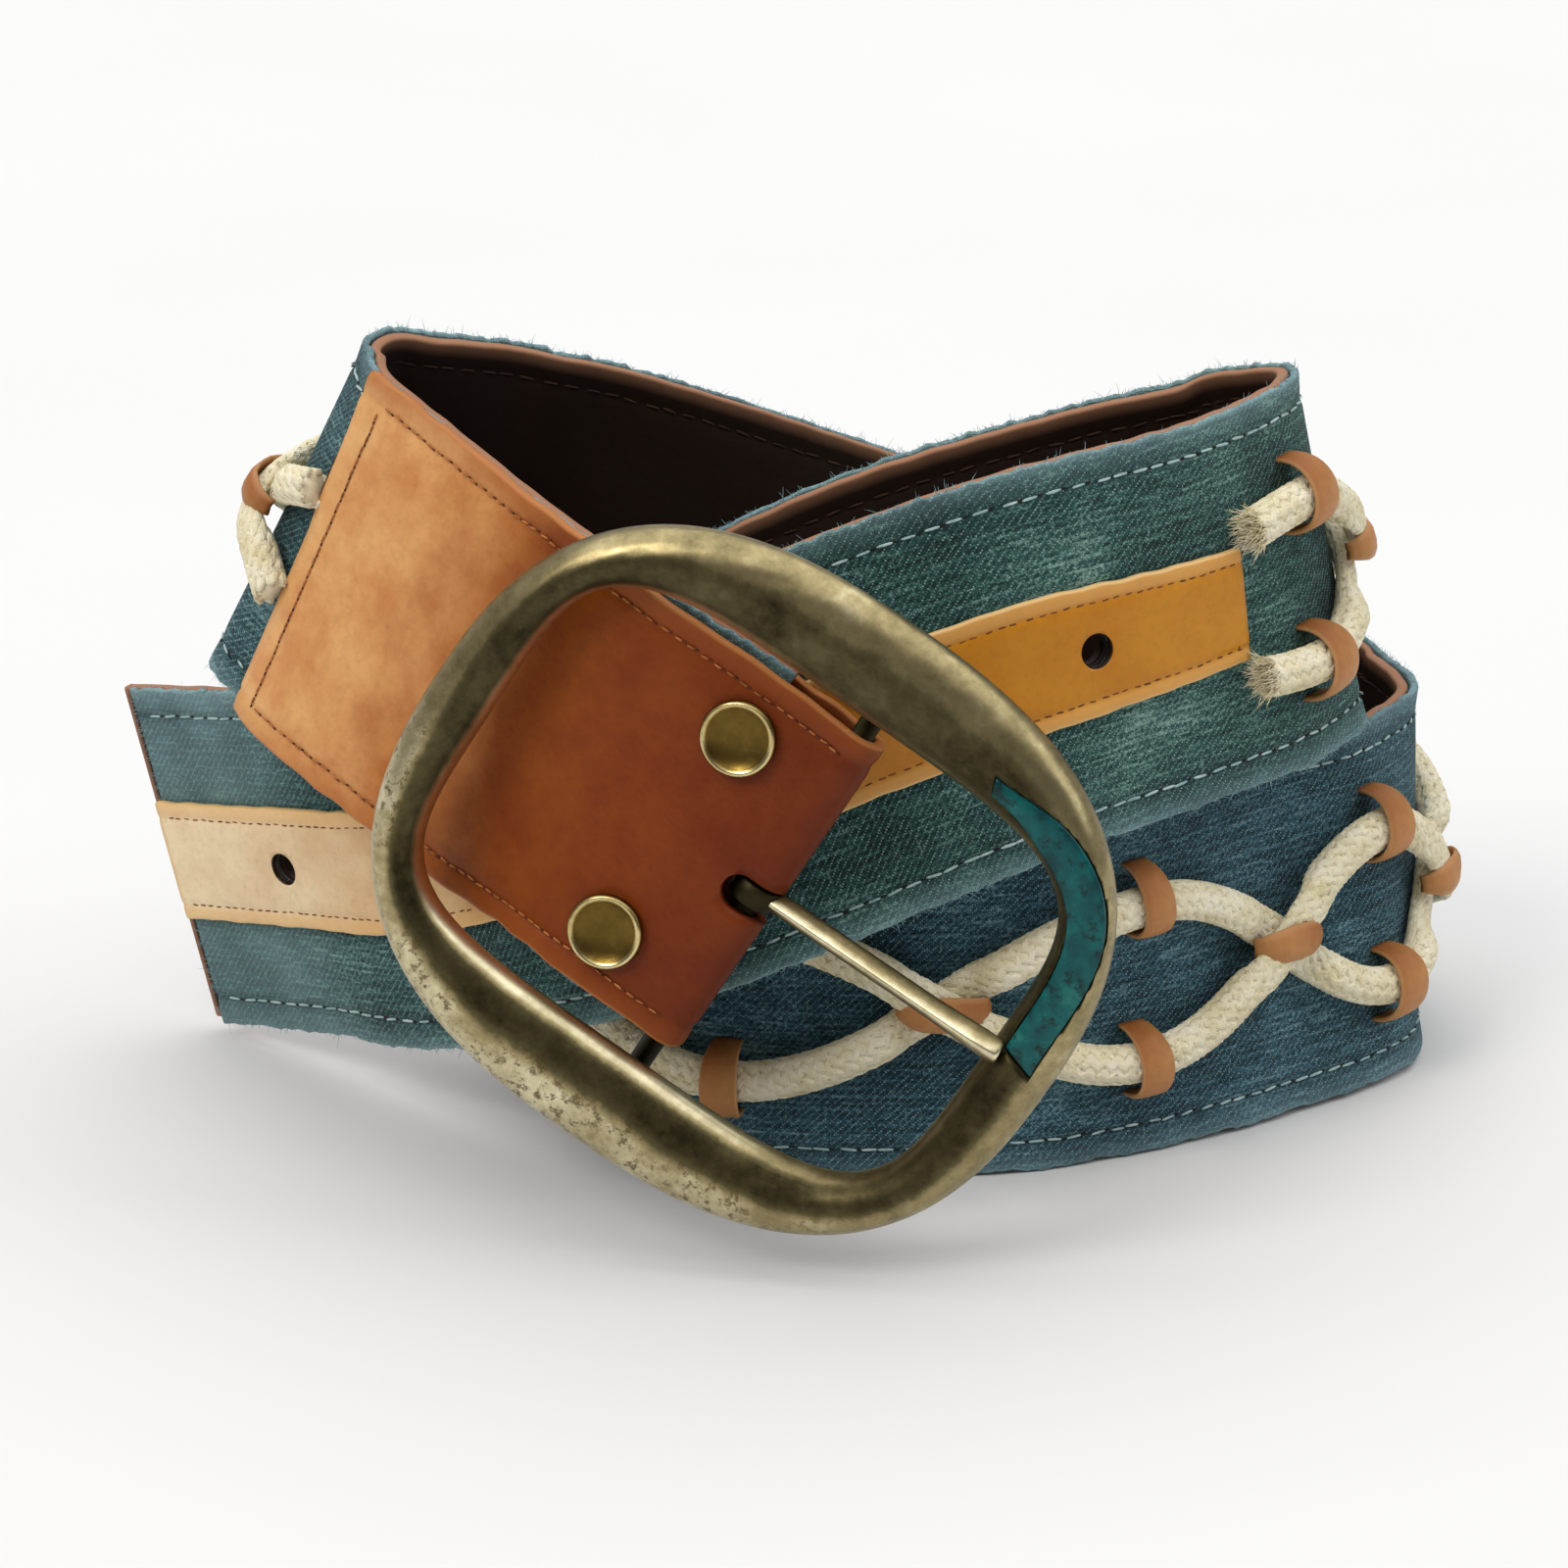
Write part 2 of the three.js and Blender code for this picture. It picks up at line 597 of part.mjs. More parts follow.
// Section of the shank as shares of its half width and half height
const PRONG_SECTION = [
  { v: -0.6, n: -1 }, { v: 0.6, n: -1 }, { v: 1, n: -0.2 },
  { v: 0.7, n: 1 }, { v: -0.7, n: 1 }, { v: -1, n: -0.2 },
];
const PRONG_STATIONS = [0.04, 0.1, PRONG.flareFrom, 0.92, 1];

// A point of the shank, which leaves the bar a little askew
function prongPoint(reach, aside, n) {
  const skew = THREE.MathUtils.degToRad(PRONG.skew);
  const u = reach * Math.cos(skew) - aside * Math.sin(skew);
  const v = reach * Math.sin(skew) + aside * Math.cos(skew);
  return ringPoint(u, PRONG.shift + v, n);
}

function addProng() {
  const along = (v) => ringPoint(0, PRONG.shift + v, 0);
  const eye = rod(along(-PRONG.eyeWidth / 2), along(PRONG.eyeWidth / 2), PRONG.eyeOuter, 14);
  const bore = rod(along(-PRONG.eyeWidth), along(PRONG.eyeWidth), BAR.radius + CLEARANCE, 14);
  const shank = PRONG_STATIONS.map((part) => {
    const flare = Math.max(0, (part - PRONG.flareFrom) / (1 - PRONG.flareFrom));
    const halfWidth = THREE.MathUtils.lerp(PRONG.half, PRONG.tipHalfWidth, flare);
    const halfHeight = part < 1 ? PRONG.half : PRONG.tipHalfHeight;
    return PRONG_SECTION.map(({ v, n }) => prongPoint(
      PRONG.length * part,
      v * halfWidth,
      PRONG.rise * part + n * halfHeight,
    ));
  });
  const solid = solidOf(eye).add(solidOf(loft(shank))).subtract(solidOf(bore));
  addPiece('prong', geometryOf(solid), 'brass');
}

// Snap caps: dished discs with a raised rim, seated on the tab

function addCap(name, side) {
  const { radius, rim, dish } = CAP;
  const profile = [
    [0, 0], [radius * 0.94, 0], [radius, rim * 0.4], [radius * 0.97, rim * 0.8], [radius * 0.86, rim],
    [radius * 0.74, rim * 0.85], [radius * 0.66, dish], [radius * 0.3, dish * 0.85], [0, dish * 0.8],
  ].map(([x, y]) => new THREE.Vector2(x, y));
  const turned = new THREE.LatheGeometry(profile, 12).deleteAttribute('uv').deleteAttribute('normal');
  const cap = mergeVertices(turned, 1e-3);
  const seat = capSeat(side, CLEARANCE);
  const axis = capSeat(side, CAP.bedHeight).sub(seat).normalize();
  cap.applyQuaternion(new THREE.Quaternion().setFromUnitVectors(new THREE.Vector3(0, 1, 0), axis));
  addPiece(name, facingOut(cap.translate(seat.x, seat.y, seat.z)), 'cap');
}

// Lacing cords and their leather keepers

function laceStations() {
  const list = [{ s: CROSSING.first, crossing: true }];
  LACE_SPANS.forEach(({ to, halves }) => {
    const from = list[list.length - 1].s;
    for (let k = 1; k <= halves; k += 1) {
      list.push({ s: from + ((to - from) * k) / halves, crossing: list.length % 2 === 0 });
    }
  });
  return list;
}

const LACE_STATIONS = laceStations();
const LACE_CROSSINGS = LACE_STATIONS.filter((station) => station.crossing).map((station) => station.s);
const LACE_START = TAB.seam + 1;
const LACE_END = STRAP_LENGTH - STRIP.length - 1;

// How far apart the cords are at s, as a signed half distance that changes side at each crossing
function lacePhase(s) {
  const k = LACE_STATIONS.findIndex((station) => station.s >= s);
  if (k < 0) {
    const last = LACE_STATIONS.length - 1;
    return last + (s - LACE_STATIONS[last].s) / CROSSING.leadOut;
  }
  if (k === 0) {
    return (s - LACE_STATIONS[0].s) / CROSSING.leadIn;
  }
  const a = LACE_STATIONS[k - 1].s;
  return k - 1 + (s - a) / (LACE_STATIONS[k].s - a);
}

// 1 where the cords lie over each other, 0 away from a crossing
function laceNearCrossing(s) {
  const gap = Math.min(...LACE_CROSSINGS.map((crossing) => Math.abs(s - crossing)));
  return 1 - THREE.MathUtils.smoothstep(gap, CROSSING.flat, CROSSING.flat + CROSSING.rise);
}

function laceSection(s, strand) {
  const spread = LACE.halfSpread * Math.sin((lacePhase(s) * Math.PI) / 2);
  const squeeze = laceNearCrossing(s);
  const thick = THREE.MathUtils.lerp(LACE.halfHeight, CROSSING.halfHeight, squeeze);
  const stack = strand > 0 ? 2 * CROSSING.halfHeight + CLEARANCE : 0;
  const out = LACE.seat + thick + stack * squeeze;
  const ahead = LACE.halfSpread * Math.sin((lacePhase(s + 1) * Math.PI) / 2);
  const slant = Math.atan(Math.abs(ahead - spread));
  const wide = THREE.MathUtils.lerp(LACE.halfWidth, CROSSING.halfWidth, squeeze) / Math.cos(slant);
  return Array.from({ length: LACE.sides }, (unused, k) => {
    const angle = (k * 2 * Math.PI) / LACE.sides;
    return strapPoint(s, strand * spread + wide * Math.cos(angle), out + thick * Math.sin(angle));
  });
}

// Distances at which the cords are cut: the strap's own sections and some between them
function laceCuts() {
  const turning = LACE_CROSSINGS.flatMap((s) => [s - CROSSING.flat, s, s + CROSSING.flat]);
  const places = [...stations(LACE_START, LACE_END), ...turning].sort((a, b) => a - b)
    .filter((s, k, list) => k === 0 || s - list[k - 1] > LACE.shortest);
  return places.flatMap((s, k) => {
    const next = places[k + 1] ?? s;
    const parts = Math.max(1, Math.ceil((next - s) / LACE.step));
    return Array.from({ length: parts }, (unused, part) => s + ((next - s) * part) / parts);
  });
}

function addCords() {
  const cuts = laceCuts();
  addPiece('lace_cord_upper', loft(cuts.map((s) => laceSection(s, 1))), 'cord');
  addPiece('lace_cord_lower', loft(cuts.map((s) => laceSection(s, -1))), 'cord');
}

function addLoopKeeper(name, s, middle) {
  const height = LACE.seat + 2 * LACE.halfHeight + KEEPER.slack - KEEPER.foot;
  const sections = Array.from({ length: KEEPER.steps + 1 }, (unused, k) => {
    const angle = (Math.PI * k) / KEEPER.steps;
    const point = (grow, along) => strapPoint(
      s + along,
      middle + (KEEPER.halfSpan + grow) * Math.cos(angle),
      KEEPER.foot + (height + grow) * Math.sin(angle),
    );
    const half = KEEPER.width / 2;
    const thick = KEEPER.thickness;
    return [point(0, -half), point(0, half), point(thick, half), point(thick, -half)];
  });
  addPiece(name, loft(sections), 'keeper');
}

function addSaddleKeeper(name, s) {
  const sections = SADDLE.map(({ along, under, half }) => [
    strapPoint(s + along, -half, under),
    strapPoint(s + along, half, under),
    strapPoint(s + along * KEEPER.taper, half, under + KEEPER.thickness),
    strapPoint(s + along * KEEPER.taper, -half, under + KEEPER.thickness),
  ]);
  addPiece(name, loft(sections), 'keeper');
}

function addKeepers() {
  let pair = 0;
  let crossing = 0;
  LACE_STATIONS.forEach((station) => {
    if (station.crossing) {
      crossing += 1;
      addSaddleKeeper(`keeper_crossing_${crossing}`, station.s);
    } else {
      pair += 1;
      addLoopKeeper(`keeper_upper_${pair}`, station.s, LACE.halfSpread);
      addLoopKeeper(`keeper_lower_${pair}`, station.s, -LACE.halfSpread);
    }
  });
}

addStrap();
addTab();
addBuckle();
addProng();
addCap('snap_cap_upper', 1);
addCap('snap_cap_lower', -1);
addCords();
addKeepers();

export default belt;
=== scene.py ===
import math

import bmesh
import bpy
import numpy as np
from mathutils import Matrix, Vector


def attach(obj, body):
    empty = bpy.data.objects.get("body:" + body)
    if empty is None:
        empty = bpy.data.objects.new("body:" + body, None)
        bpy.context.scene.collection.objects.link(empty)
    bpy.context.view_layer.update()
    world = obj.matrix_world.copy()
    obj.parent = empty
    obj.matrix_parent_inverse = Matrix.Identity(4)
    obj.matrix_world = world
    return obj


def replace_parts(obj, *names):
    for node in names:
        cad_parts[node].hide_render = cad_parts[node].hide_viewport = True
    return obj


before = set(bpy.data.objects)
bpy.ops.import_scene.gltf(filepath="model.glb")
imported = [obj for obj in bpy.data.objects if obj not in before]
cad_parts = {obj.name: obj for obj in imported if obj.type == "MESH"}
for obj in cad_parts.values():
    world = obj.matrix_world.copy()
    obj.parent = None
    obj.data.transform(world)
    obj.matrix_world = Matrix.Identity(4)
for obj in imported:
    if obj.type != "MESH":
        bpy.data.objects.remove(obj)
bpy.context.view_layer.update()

# Driving sizes in millimetres, as in the solids

MM = 0.001
MIDDLE = (2.9, 64.4)
HALF_WIDTH = 38
LINING_HALF_WIDTH = 37.7
DENIM_INNER, DENIM_OUTER = 0.2, 1.65
LINING_INNER, LINING_OUTER = -2.45, -0.05
TAB_NEAR_HALF, TAB_FAR_HALF = 36.3, 39
TAB_FLARE = (15, 70)
TAB_SEAM = 117
TAB_FLAP_END = 40
TAB_LEATHER = 2.4
TAB_FRONT = 2.1
TAB_BACK = -3.0
TAB_CORE = (TAB_FRONT + TAB_BACK) / 2
TAB_FOLD_RADIUS = (TAB_FRONT - TAB_BACK) / 2
SLOT_HALF_WIDTH = 3.7
SLOT_REACH = 5.6
SLOT_SHIFT = -2.2
STRAP_START = 17
STRIP_HALF_WIDTH, STRIP_END_HALF, STRIP_WIDENS = 13.2, 11.4, 45
STRIP_INNER, STRIP_OUTER = 1.95, 3.65
STRIP_ROW = 9.8
STRIP_LENGTH = 270
TIP_OVERHANG = 4
HOLE_COUNT = 7
HOLE_FIRST = 39
HOLE_PITCH = 32.6
HOLE_RADIUS = 3.5
# A hole's wall carries this distance along the strap in its UV, so that its material can tell it apart
HOLE_WALL_MARK = -50
# How far the cutters of the holes and of the tab's slot reach on either side of what they cut
PUNCH_INNER, PUNCH_OUTER = -8, 9
SLOT_CUT = 12
STITCH_ROW = HALF_WIDTH - 6
STITCH_PITCH = 4.2
SMALL_PITCH = 2.5

# The strap's route from the buckle bar to the tip: its middle, and how far its upper edge leans in
ROUTE = [
    # x, y, z, lean
    (-4.5, 0.9, 73.6, 8),
    (-33.9, 11.8, 92.5, 8),
    (-61.1, 31.8, 106.5, 10),
    (-90.8, 59.9, 122, 15),
    (-96.5, 74, 126, 27),
    (-86, 86, 124, 17),
    (-54, 97, 114.5, 5),
    (-8, 113, 95, 0),
    (40, 130, 73, 0),
    (88, 143, 50, 0),
    (119, 136, 40, 0),
    (131, 112, 38.6, 2),
    (124, 88, 38.3, 8),
    (99, 67, 38, 8),
    (58, 38.5, 38, 0),
    (8, 32, 38, 0),
    (-25, 40, 38.7, 0),
    (-43, 56, 43, 0),
    (-48, 73.5, 50, 0),
    (-37, 87.5, 58, 0),
    (-17, 92, 70, 0),
    (25, 94, 90.5, 0),
    (70, 97, 104, 2),
    (94, 97, 110, 8),
    (107, 82, 114.8, 13),
    (101, 64, 115, 9),
    (80, 44, 113, 4),
    (42, 23, 108, 6),
    (-14, 17.5, 87.3, 5),
    (-50, 38.5, 68, 0),
    (-77, 62, 53.5, -3),
    (-101, 85, 46, -7),
    (-129, 109, 38.8, -7),
]
DENT_AT, DENT_REACH, DENT_DEPTH = 183, 7, 2.2

# Lacing: distance from the bar at which each span ends, and how many half waves it holds
LACE_FIRST_CROSSING = 136.5
LACE_SPANS = [
    # to, half waves
    (421, 8),
    (441, 1),
    (470, 1),
    (506, 1),
    (546, 1),
    (587, 1),
    (830, 7),
    (853, 1),
]
LACE_RADIUS = 4.0
LACE_SPREAD = 16.5
LACE_SEAT = 2.3
LACE_SQUEEZED = 1.75
LACE_FLAT = 6.2
LACE_RISE = 6

# The buckle, measured from the bar. Edges of the ring: half length, half height, roundness, offset
RING_OUTLINE = (69, 61, 2.55, -3.1)
RING_HOLE = (56, 41, 4.6, -3.7)
RING_BACK = 5.3
RING_THICKNESS = 7.6
RING_CROWN = RING_BACK + RING_THICKNESS
RING_SWING = 4.5
BAR_RADIUS = 2.2
BAR_END = 50
LUG_RADIUS = 3.2
LUG_HEAD = 10.3
INLAY_FROM, INLAY_TO = 1, 75
INLAY_INSET, INLAY_WIDTH, INLAY_POINT, INLAY_TAPER, INLAY_DEPTH = 2.6, 6.8, 3.2, 0.7, 2.4
PRONG_LENGTH, PRONG_RISE, PRONG_SHIFT, PRONG_SKEW = 54.6, 12.9, -1.6, 5.6
PRONG_HALF, PRONG_TIP_HALF = 2.2, 2.7
PRONG_BORE, PRONG_EYE, PRONG_EYE_WIDTH = 2.5, 4.7, 4.6
CAP_ALONG, CAP_SPACING, CAP_SHIFT, CAP_RADIUS = 18.5, 46.5, -0.4, 7.4

# The photograph's camera: where it stands and looks, its picture's width and focal length in pixels
CAMERA_PLACE = (0, -879.7, 414.2)
CAMERA_TARGET = (0, 60, 72.2)
PICTURE_WIDTH = 1600
FOCAL_PIXELS = 5130
SENSOR_WIDTH = 36
FLOOR_HALF = 6000
FLOOR_DROP = 0.6


# Route of the strap: a centripetal Catmull-Rom curve, walked by its arc length

def route_points(steps=24):
    rows = np.array(ROUTE, float)
    places = rows[:, :3]
    first = 2 * places[0] - places[1]
    last = 2 * places[-1] - places[-2]
    padded = np.vstack([first, places, last])
    points = []
    leans = []
    for index in range(len(places) - 1):
        p0, p1, p2, p3 = padded[index:index + 4]
        k1 = math.sqrt(np.linalg.norm(p1 - p0))
        k2 = k1 + math.sqrt(np.linalg.norm(p2 - p1))
        k3 = k2 + math.sqrt(np.linalg.norm(p3 - p2))
        count = steps + (1 if index == len(places) - 2 else 0)
        part = np.arange(count)[:, None] / steps
        t = k1 + (k2 - k1) * part

        def mix(a, b, ta, tb):
            return a + (b - a) * (t - ta) / (tb - ta)

        a1 = mix(p0, p1, 0, k1)
        a2 = mix(p1, p2, k1, k2)
        a3 = mix(p2, p3, k2, k3)
        points.append(mix(mix(a1, a2, 0, k2), mix(a2, a3, k1, k3), k1, k2))
        eased = part[:, 0] ** 2 * (3 - 2 * part[:, 0])
        leans.append(rows[index, 3] + (rows[index + 1, 3] - rows[index, 3]) * eased)
    walk = np.vstack(points)
    walk[:, 2] = np.maximum(walk[:, 2], HALF_WIDTH)
    walk[:, 0] -= MIDDLE[0]
    walk[:, 1] -= MIDDLE[1]
    return walk, np.concatenate(leans)


WALK, WALK_LEAN = route_points()
WALK_S = np.concatenate([[0], np.cumsum(np.linalg.norm(np.diff(WALK, axis=0), axis=1))])
LENGTH = float(WALK_S[-1])


def centre_at(s):
    """Middle of the strap at distances s from the bar, straight on past both ends."""
    s = np.asarray(s, float)
    inside = np.clip(s, 0, LENGTH)
    found = np.stack([np.interp(inside, WALK_S, WALK[:, k]) for k in range(3)], axis=-1)
    start = (WALK[1] - WALK[0]) / np.linalg.norm(WALK[1] - WALK[0])
    end = (WALK[-1] - WALK[-2]) / np.linalg.norm(WALK[-1] - WALK[-2])
    found += np.minimum(s, 0)[..., None] * start
    found += np.maximum(s - LENGTH, 0)[..., None] * end
    return found


def unit(v):
    return v / np.linalg.norm(v, axis=-1, keepdims=True)


def strap_frame(s):
    """Point, and the directions along, across (up) and out of the strap, at distances s."""
    s = np.atleast_1d(np.asarray(s, float))
    along = unit(centre_at(s + 2) - centre_at(s - 2))
    up = np.zeros_like(along)
    up[:, 2] = 1
    up = unit(up - along * along[:, 2:3])
    outward = np.cross(up, along)
    angle = np.radians(np.interp(s, WALK_S, WALK_LEAN))[:, None]
    across = up * np.cos(angle) - outward * np.sin(angle)
    outward = unit(np.cross(across, along))
    return centre_at(s), along, across, outward


FRAME_STEP = 0.5
FRAME_S = np.arange(-40, LENGTH + 40, FRAME_STEP)
FRAME_TABLE = strap_frame(FRAME_S)


def strap_directions(s):
    """The frame at any distances s, of any shape, read between the steps of the table."""
    s = np.asarray(s, float)
    return [
        np.stack([np.interp(s, FRAME_S, part[:, k]) for k in range(3)], axis=-1)
        for part in FRAME_TABLE
    ]


def strap_point(s, w, n):
    """A point of the strap: s from the bar, w across from the middle, n out from its middle."""
    s, w, n = np.broadcast_arrays(*[np.asarray(v, float) for v in (s, w, n)])
    point, _, across, outward = strap_directions(s)
    pressed = DENT_DEPTH * np.exp(-((s - DENT_AT) / DENT_REACH) ** 2)
    dent = pressed * np.maximum(0, w / HALF_WIDTH)
    return point + across * w[..., None] + outward * (n - dent)[..., None]


def waver(s, seed, shortest, longest, count=7):
    """Smooth uneven values from -1 to 1 along s, from a few sines of fixed random phase."""
    rng = np.random.RandomState(seed)
    lengths = np.exp(rng.uniform(math.log(shortest), math.log(longest), count))
    phases = rng.uniform(0, 2 * math.pi, count)
    weights = rng.uniform(0.5, 1, count)
    total = sum(k * np.sin(2 * math.pi * s / l + p) for l, p, k in zip(lengths, phases, weights))
    return total / weights.sum() * 1.6


def smooth_step(value, low, high):
    t = np.clip((np.asarray(value, float) - low) / (high - low), 0, 1)
    return t * t * (3 - 2 * t)


# Meshes

def new_object(name, vertices, faces):
    """An object in metres from points in millimetres."""
    mesh = bpy.data.meshes.new(name)
    mesh.from_pydata((np.asarray(vertices) * MM).tolist(), [], faces)
    mesh.update()
    mesh.polygons.foreach_set("use_smooth", [True] * len(mesh.polygons))
    piece = bpy.data.objects.new(name, mesh)
    bpy.context.scene.collection.objects.link(piece)
    return piece


def face_outwards(piece):
    """Turns every face of a closed piece outwards."""
    work = bmesh.new()
    work.from_mesh(piece.data)
    bmesh.ops.recalc_face_normals(work, faces=work.faces)
    work.to_mesh(piece.data)
    work.free()


def swept(name, points, uv=None, closed_path=False):
    """A tube through rows of points, shape (rows, ring, 3), with a UV for each point, or all zero."""
    rows, ring = points.shape[:2]
    index = np.arange(rows * ring).reshape(rows, ring)
    last_row = rows if closed_path else rows - 1
    a = np.arange(last_row)[:, None]
    b = np.arange(ring)[None, :]
    quads = np.stack([
        index[a, b], index[a, (b + 1) % ring],
        index[(a + 1) % rows, (b + 1) % ring], index[(a + 1) % rows, b],
    ], axis=-1).reshape(-1, 4)
    faces = quads.tolist()
    if not closed_path:
        faces.append(index[0, ::-1].tolist())
        faces.append(index[-1].tolist())
    piece = new_object(name, points.reshape(-1, 3), faces)
    uv = np.zeros((rows * ring, 2)) if uv is None else uv.reshape(-1, 2)
    set_uv(piece, uv)
    return piece


def set_uv(piece, per_vertex):
    mesh = piece.data
    loops = np.empty(len(mesh.loops), int)
    mesh.loops.foreach_get("vertex_index", loops)
    target = mesh.uv_layers.new(name="strap")
    target.data.foreach_set("uv", np.asarray(per_vertex, float)[loops].ravel())


def set_values(piece, name, per_vertex):
    """A number for each vertex that a material reads."""
    attribute = piece.data.attributes.new(name, "FLOAT", "POINT")
    attribute.data.foreach_set("value", np.asarray(per_vertex, float).ravel())


def joined(name, pieces):
    """One mesh object from several, with their UVs and attributes."""
    with bpy.context.temp_override(
        active_object=pieces[0], object=pieces[0],
        selected_objects=pieces, selected_editable_objects=pieces,
    ):
        bpy.ops.object.join()
    pieces[0].name = name
    return pieces[0]


def baked(piece):
    """The piece with its modifiers applied, as a plain mesh in their place."""
    bpy.context.view_layer.update()
    graph = bpy.context.evaluated_depsgraph_get()
    mesh = bpy.data.meshes.new_from_object(piece.evaluated_get(graph))
    piece.modifiers.clear()
    piece.data = mesh
    return piece


def cut(piece, cutters):
    """Cuts the closed cutters out of a closed piece and deletes them."""
    for cutter in cutters:
        modifier = piece.modifiers.new("cut", "BOOLEAN")
        modifier.operation = "DIFFERENCE"
        modifier.solver = "EXACT"
        modifier.object = cutter
    baked(piece)
    for cutter in cutters:
        bpy.data.objects.remove(cutter)
    return piece


def rod(name, start, end, radius, sides=24, along=0.0):
    """A rod whose UV holds one distance along the strap."""
    start, end = np.asarray(start, float), np.asarray(end, float)
    axis = unit(end - start)
    askew = [0.31, 0.17, 0.93]
    side = unit(np.cross(axis, askew))
    other = np.cross(axis, side)
    angle = np.linspace(0, 2 * math.pi, sides, endpoint=False)[:, None]
    ring = radius * (np.cos(angle) * side + np.sin(angle) * other)
    points = np.stack([start + ring, end + ring])
    piece = swept(name, points, np.full(points.shape[:2] + (2,), [along, 0.0]))
    face_outwards(piece)
    return piece


# Nodes for materials and for Geometry Nodes trees

MATH, MIX, RAMP, NOISE = "ShaderNodeMath", "ShaderNodeMix", "ShaderNodeValToRGB", "ShaderNodeTexNoise"
# Sockets of the colour mix: its share, the two colours and the mixed one
SHARE, FIRST, SECOND, MIXED = 0, 6, 7, 2


def add(tree, kind, inputs=None, output=0, stops=(), **settings):
    """A node with its settings, its inputs given as values or as the sockets that feed them, and a
    ramp's stops as (place, hex colour or grey value). Gives one output, or the node for None."""
    node = tree.nodes.new(kind)
    for key, value in settings.items():
        setattr(node, key, value)
    for key, value in (inputs or {}).items():
        socket = node.inputs[key]
        if isinstance(value, bpy.types.NodeSocket):
            tree.links.new(value, socket)
        else:
            socket.default_value = value
    for _ in stops[2:]:
        node.color_ramp.elements.new(0.5)
    for number, (place, value) in enumerate(stops):
        element = node.color_ramp.elements[number]
        element.position = place
        element.color = colour(value) if isinstance(value, int) and value > 1 else (value, value, value, 1)
    return node if output is None else node.outputs[output]


def colour(hex_value):
    """Linear RGBA from an sRGB hex value."""
    parts = [(hex_value >> shift & 255) / 255 for shift in (16, 8, 0)]
    linear = [c / 12.92 if c <= 0.04045 else ((c + 0.055) / 1.055) ** 2.4 for c in parts]
    return (*linear, 1)


def new_material(name):
    material = bpy.data.materials.new(name)
    material.use_nodes = True
    material.node_tree.nodes.clear()
    return material, material.node_tree


def finish_material(tree, inputs, bump=None, strength=0.5, distance=0.2):
    """Ends a material: inputs of the surface shader, and a height in millimetres for its bump."""
    if bump is not None:
        relief = {"Strength": strength, "Distance": distance * MM, "Height": bump}
        inputs = {**inputs, "Normal": add(tree, "ShaderNodeBump", relief)}
    shader = add(tree, "ShaderNodeBsdfPrincipled", inputs)
    add(tree, "ShaderNodeOutputMaterial", {"Surface": shader}, None)


def strap_coordinates(tree):
    """The piece's own UV in millimetres along and across, and its two parts."""
    uv = add(tree, "ShaderNodeUVMap", uv_map="strap")
    parts = add(tree, "ShaderNodeSeparateXYZ", {"Vector": uv}, None)
    return uv, parts.outputs[0], parts.outputs[1]


def with_hole_walls(tree, along, surface):
    """Dark walls in the punched holes, which the UV marks as lying before the strap."""
    wall = add(tree, MATH, {0: along, 1: HOLE_WALL_MARK / 2}, operation="LESS_THAN")
    return add(tree, MIX, {SHARE: wall, FIRST: surface, SECOND: colour(0x2E1A0E)}, MIXED, data_type="RGBA")


# Cotton denim, dyed teal and stone washed: 3/1 twill whose pale weft shows as flecks in slanting
# rows, uneven threads, faded where it was rubbed at its edges and beside the stitching. Its thread
# is drawn at 0.42 mm, the real pitch of a heavy denim.

def twill(tree, uv, along, across, thread):
    """How high the thread lies, where the weft lies over the warp, and a tone for each warp end."""
    wander = add(tree, NOISE, {"Vector": uv, "Scale": 0.3, "Detail": 2, "Roughness": 0.55})
    drift = add(tree, MATH, {0: wander, 1: 1.6}, operation="MULTIPLY")
    picks = add(tree, MATH, {0: along, 1: 1 / thread, 2: drift}, operation="MULTIPLY_ADD")
    ends = add(tree, MATH, {0: across, 1: thread}, operation="DIVIDE")
    pick = add(tree, MATH, {0: picks}, operation="FLOOR")
    end = add(tree, MATH, {0: ends}, operation="FLOOR")
    step = add(tree, MATH, {0: pick, 1: end}, operation="ADD")
    phase = add(tree, MATH, {0: step, 1: 4}, operation="FLOORED_MODULO")
    weft_over = add(tree, MATH, {0: phase, 1: 0.5}, operation="LESS_THAN")
    rises = []
    for count in (picks, ends):
        part = add(tree, MATH, {0: count}, operation="FRACT")
        half_turn = add(tree, MATH, {0: part, 1: math.pi}, operation="MULTIPLY")
        rises.append(add(tree, MATH, {0: half_turn}, operation="SINE"))
    knot = add(tree, MATH, {0: rises[0], 1: rises[1]}, operation="MULTIPLY")
    tone = add(tree, "ShaderNodeTexWhiteNoise", {"W": end}, "Value", noise_dimensions="1D")
    return knot, weft_over, tone


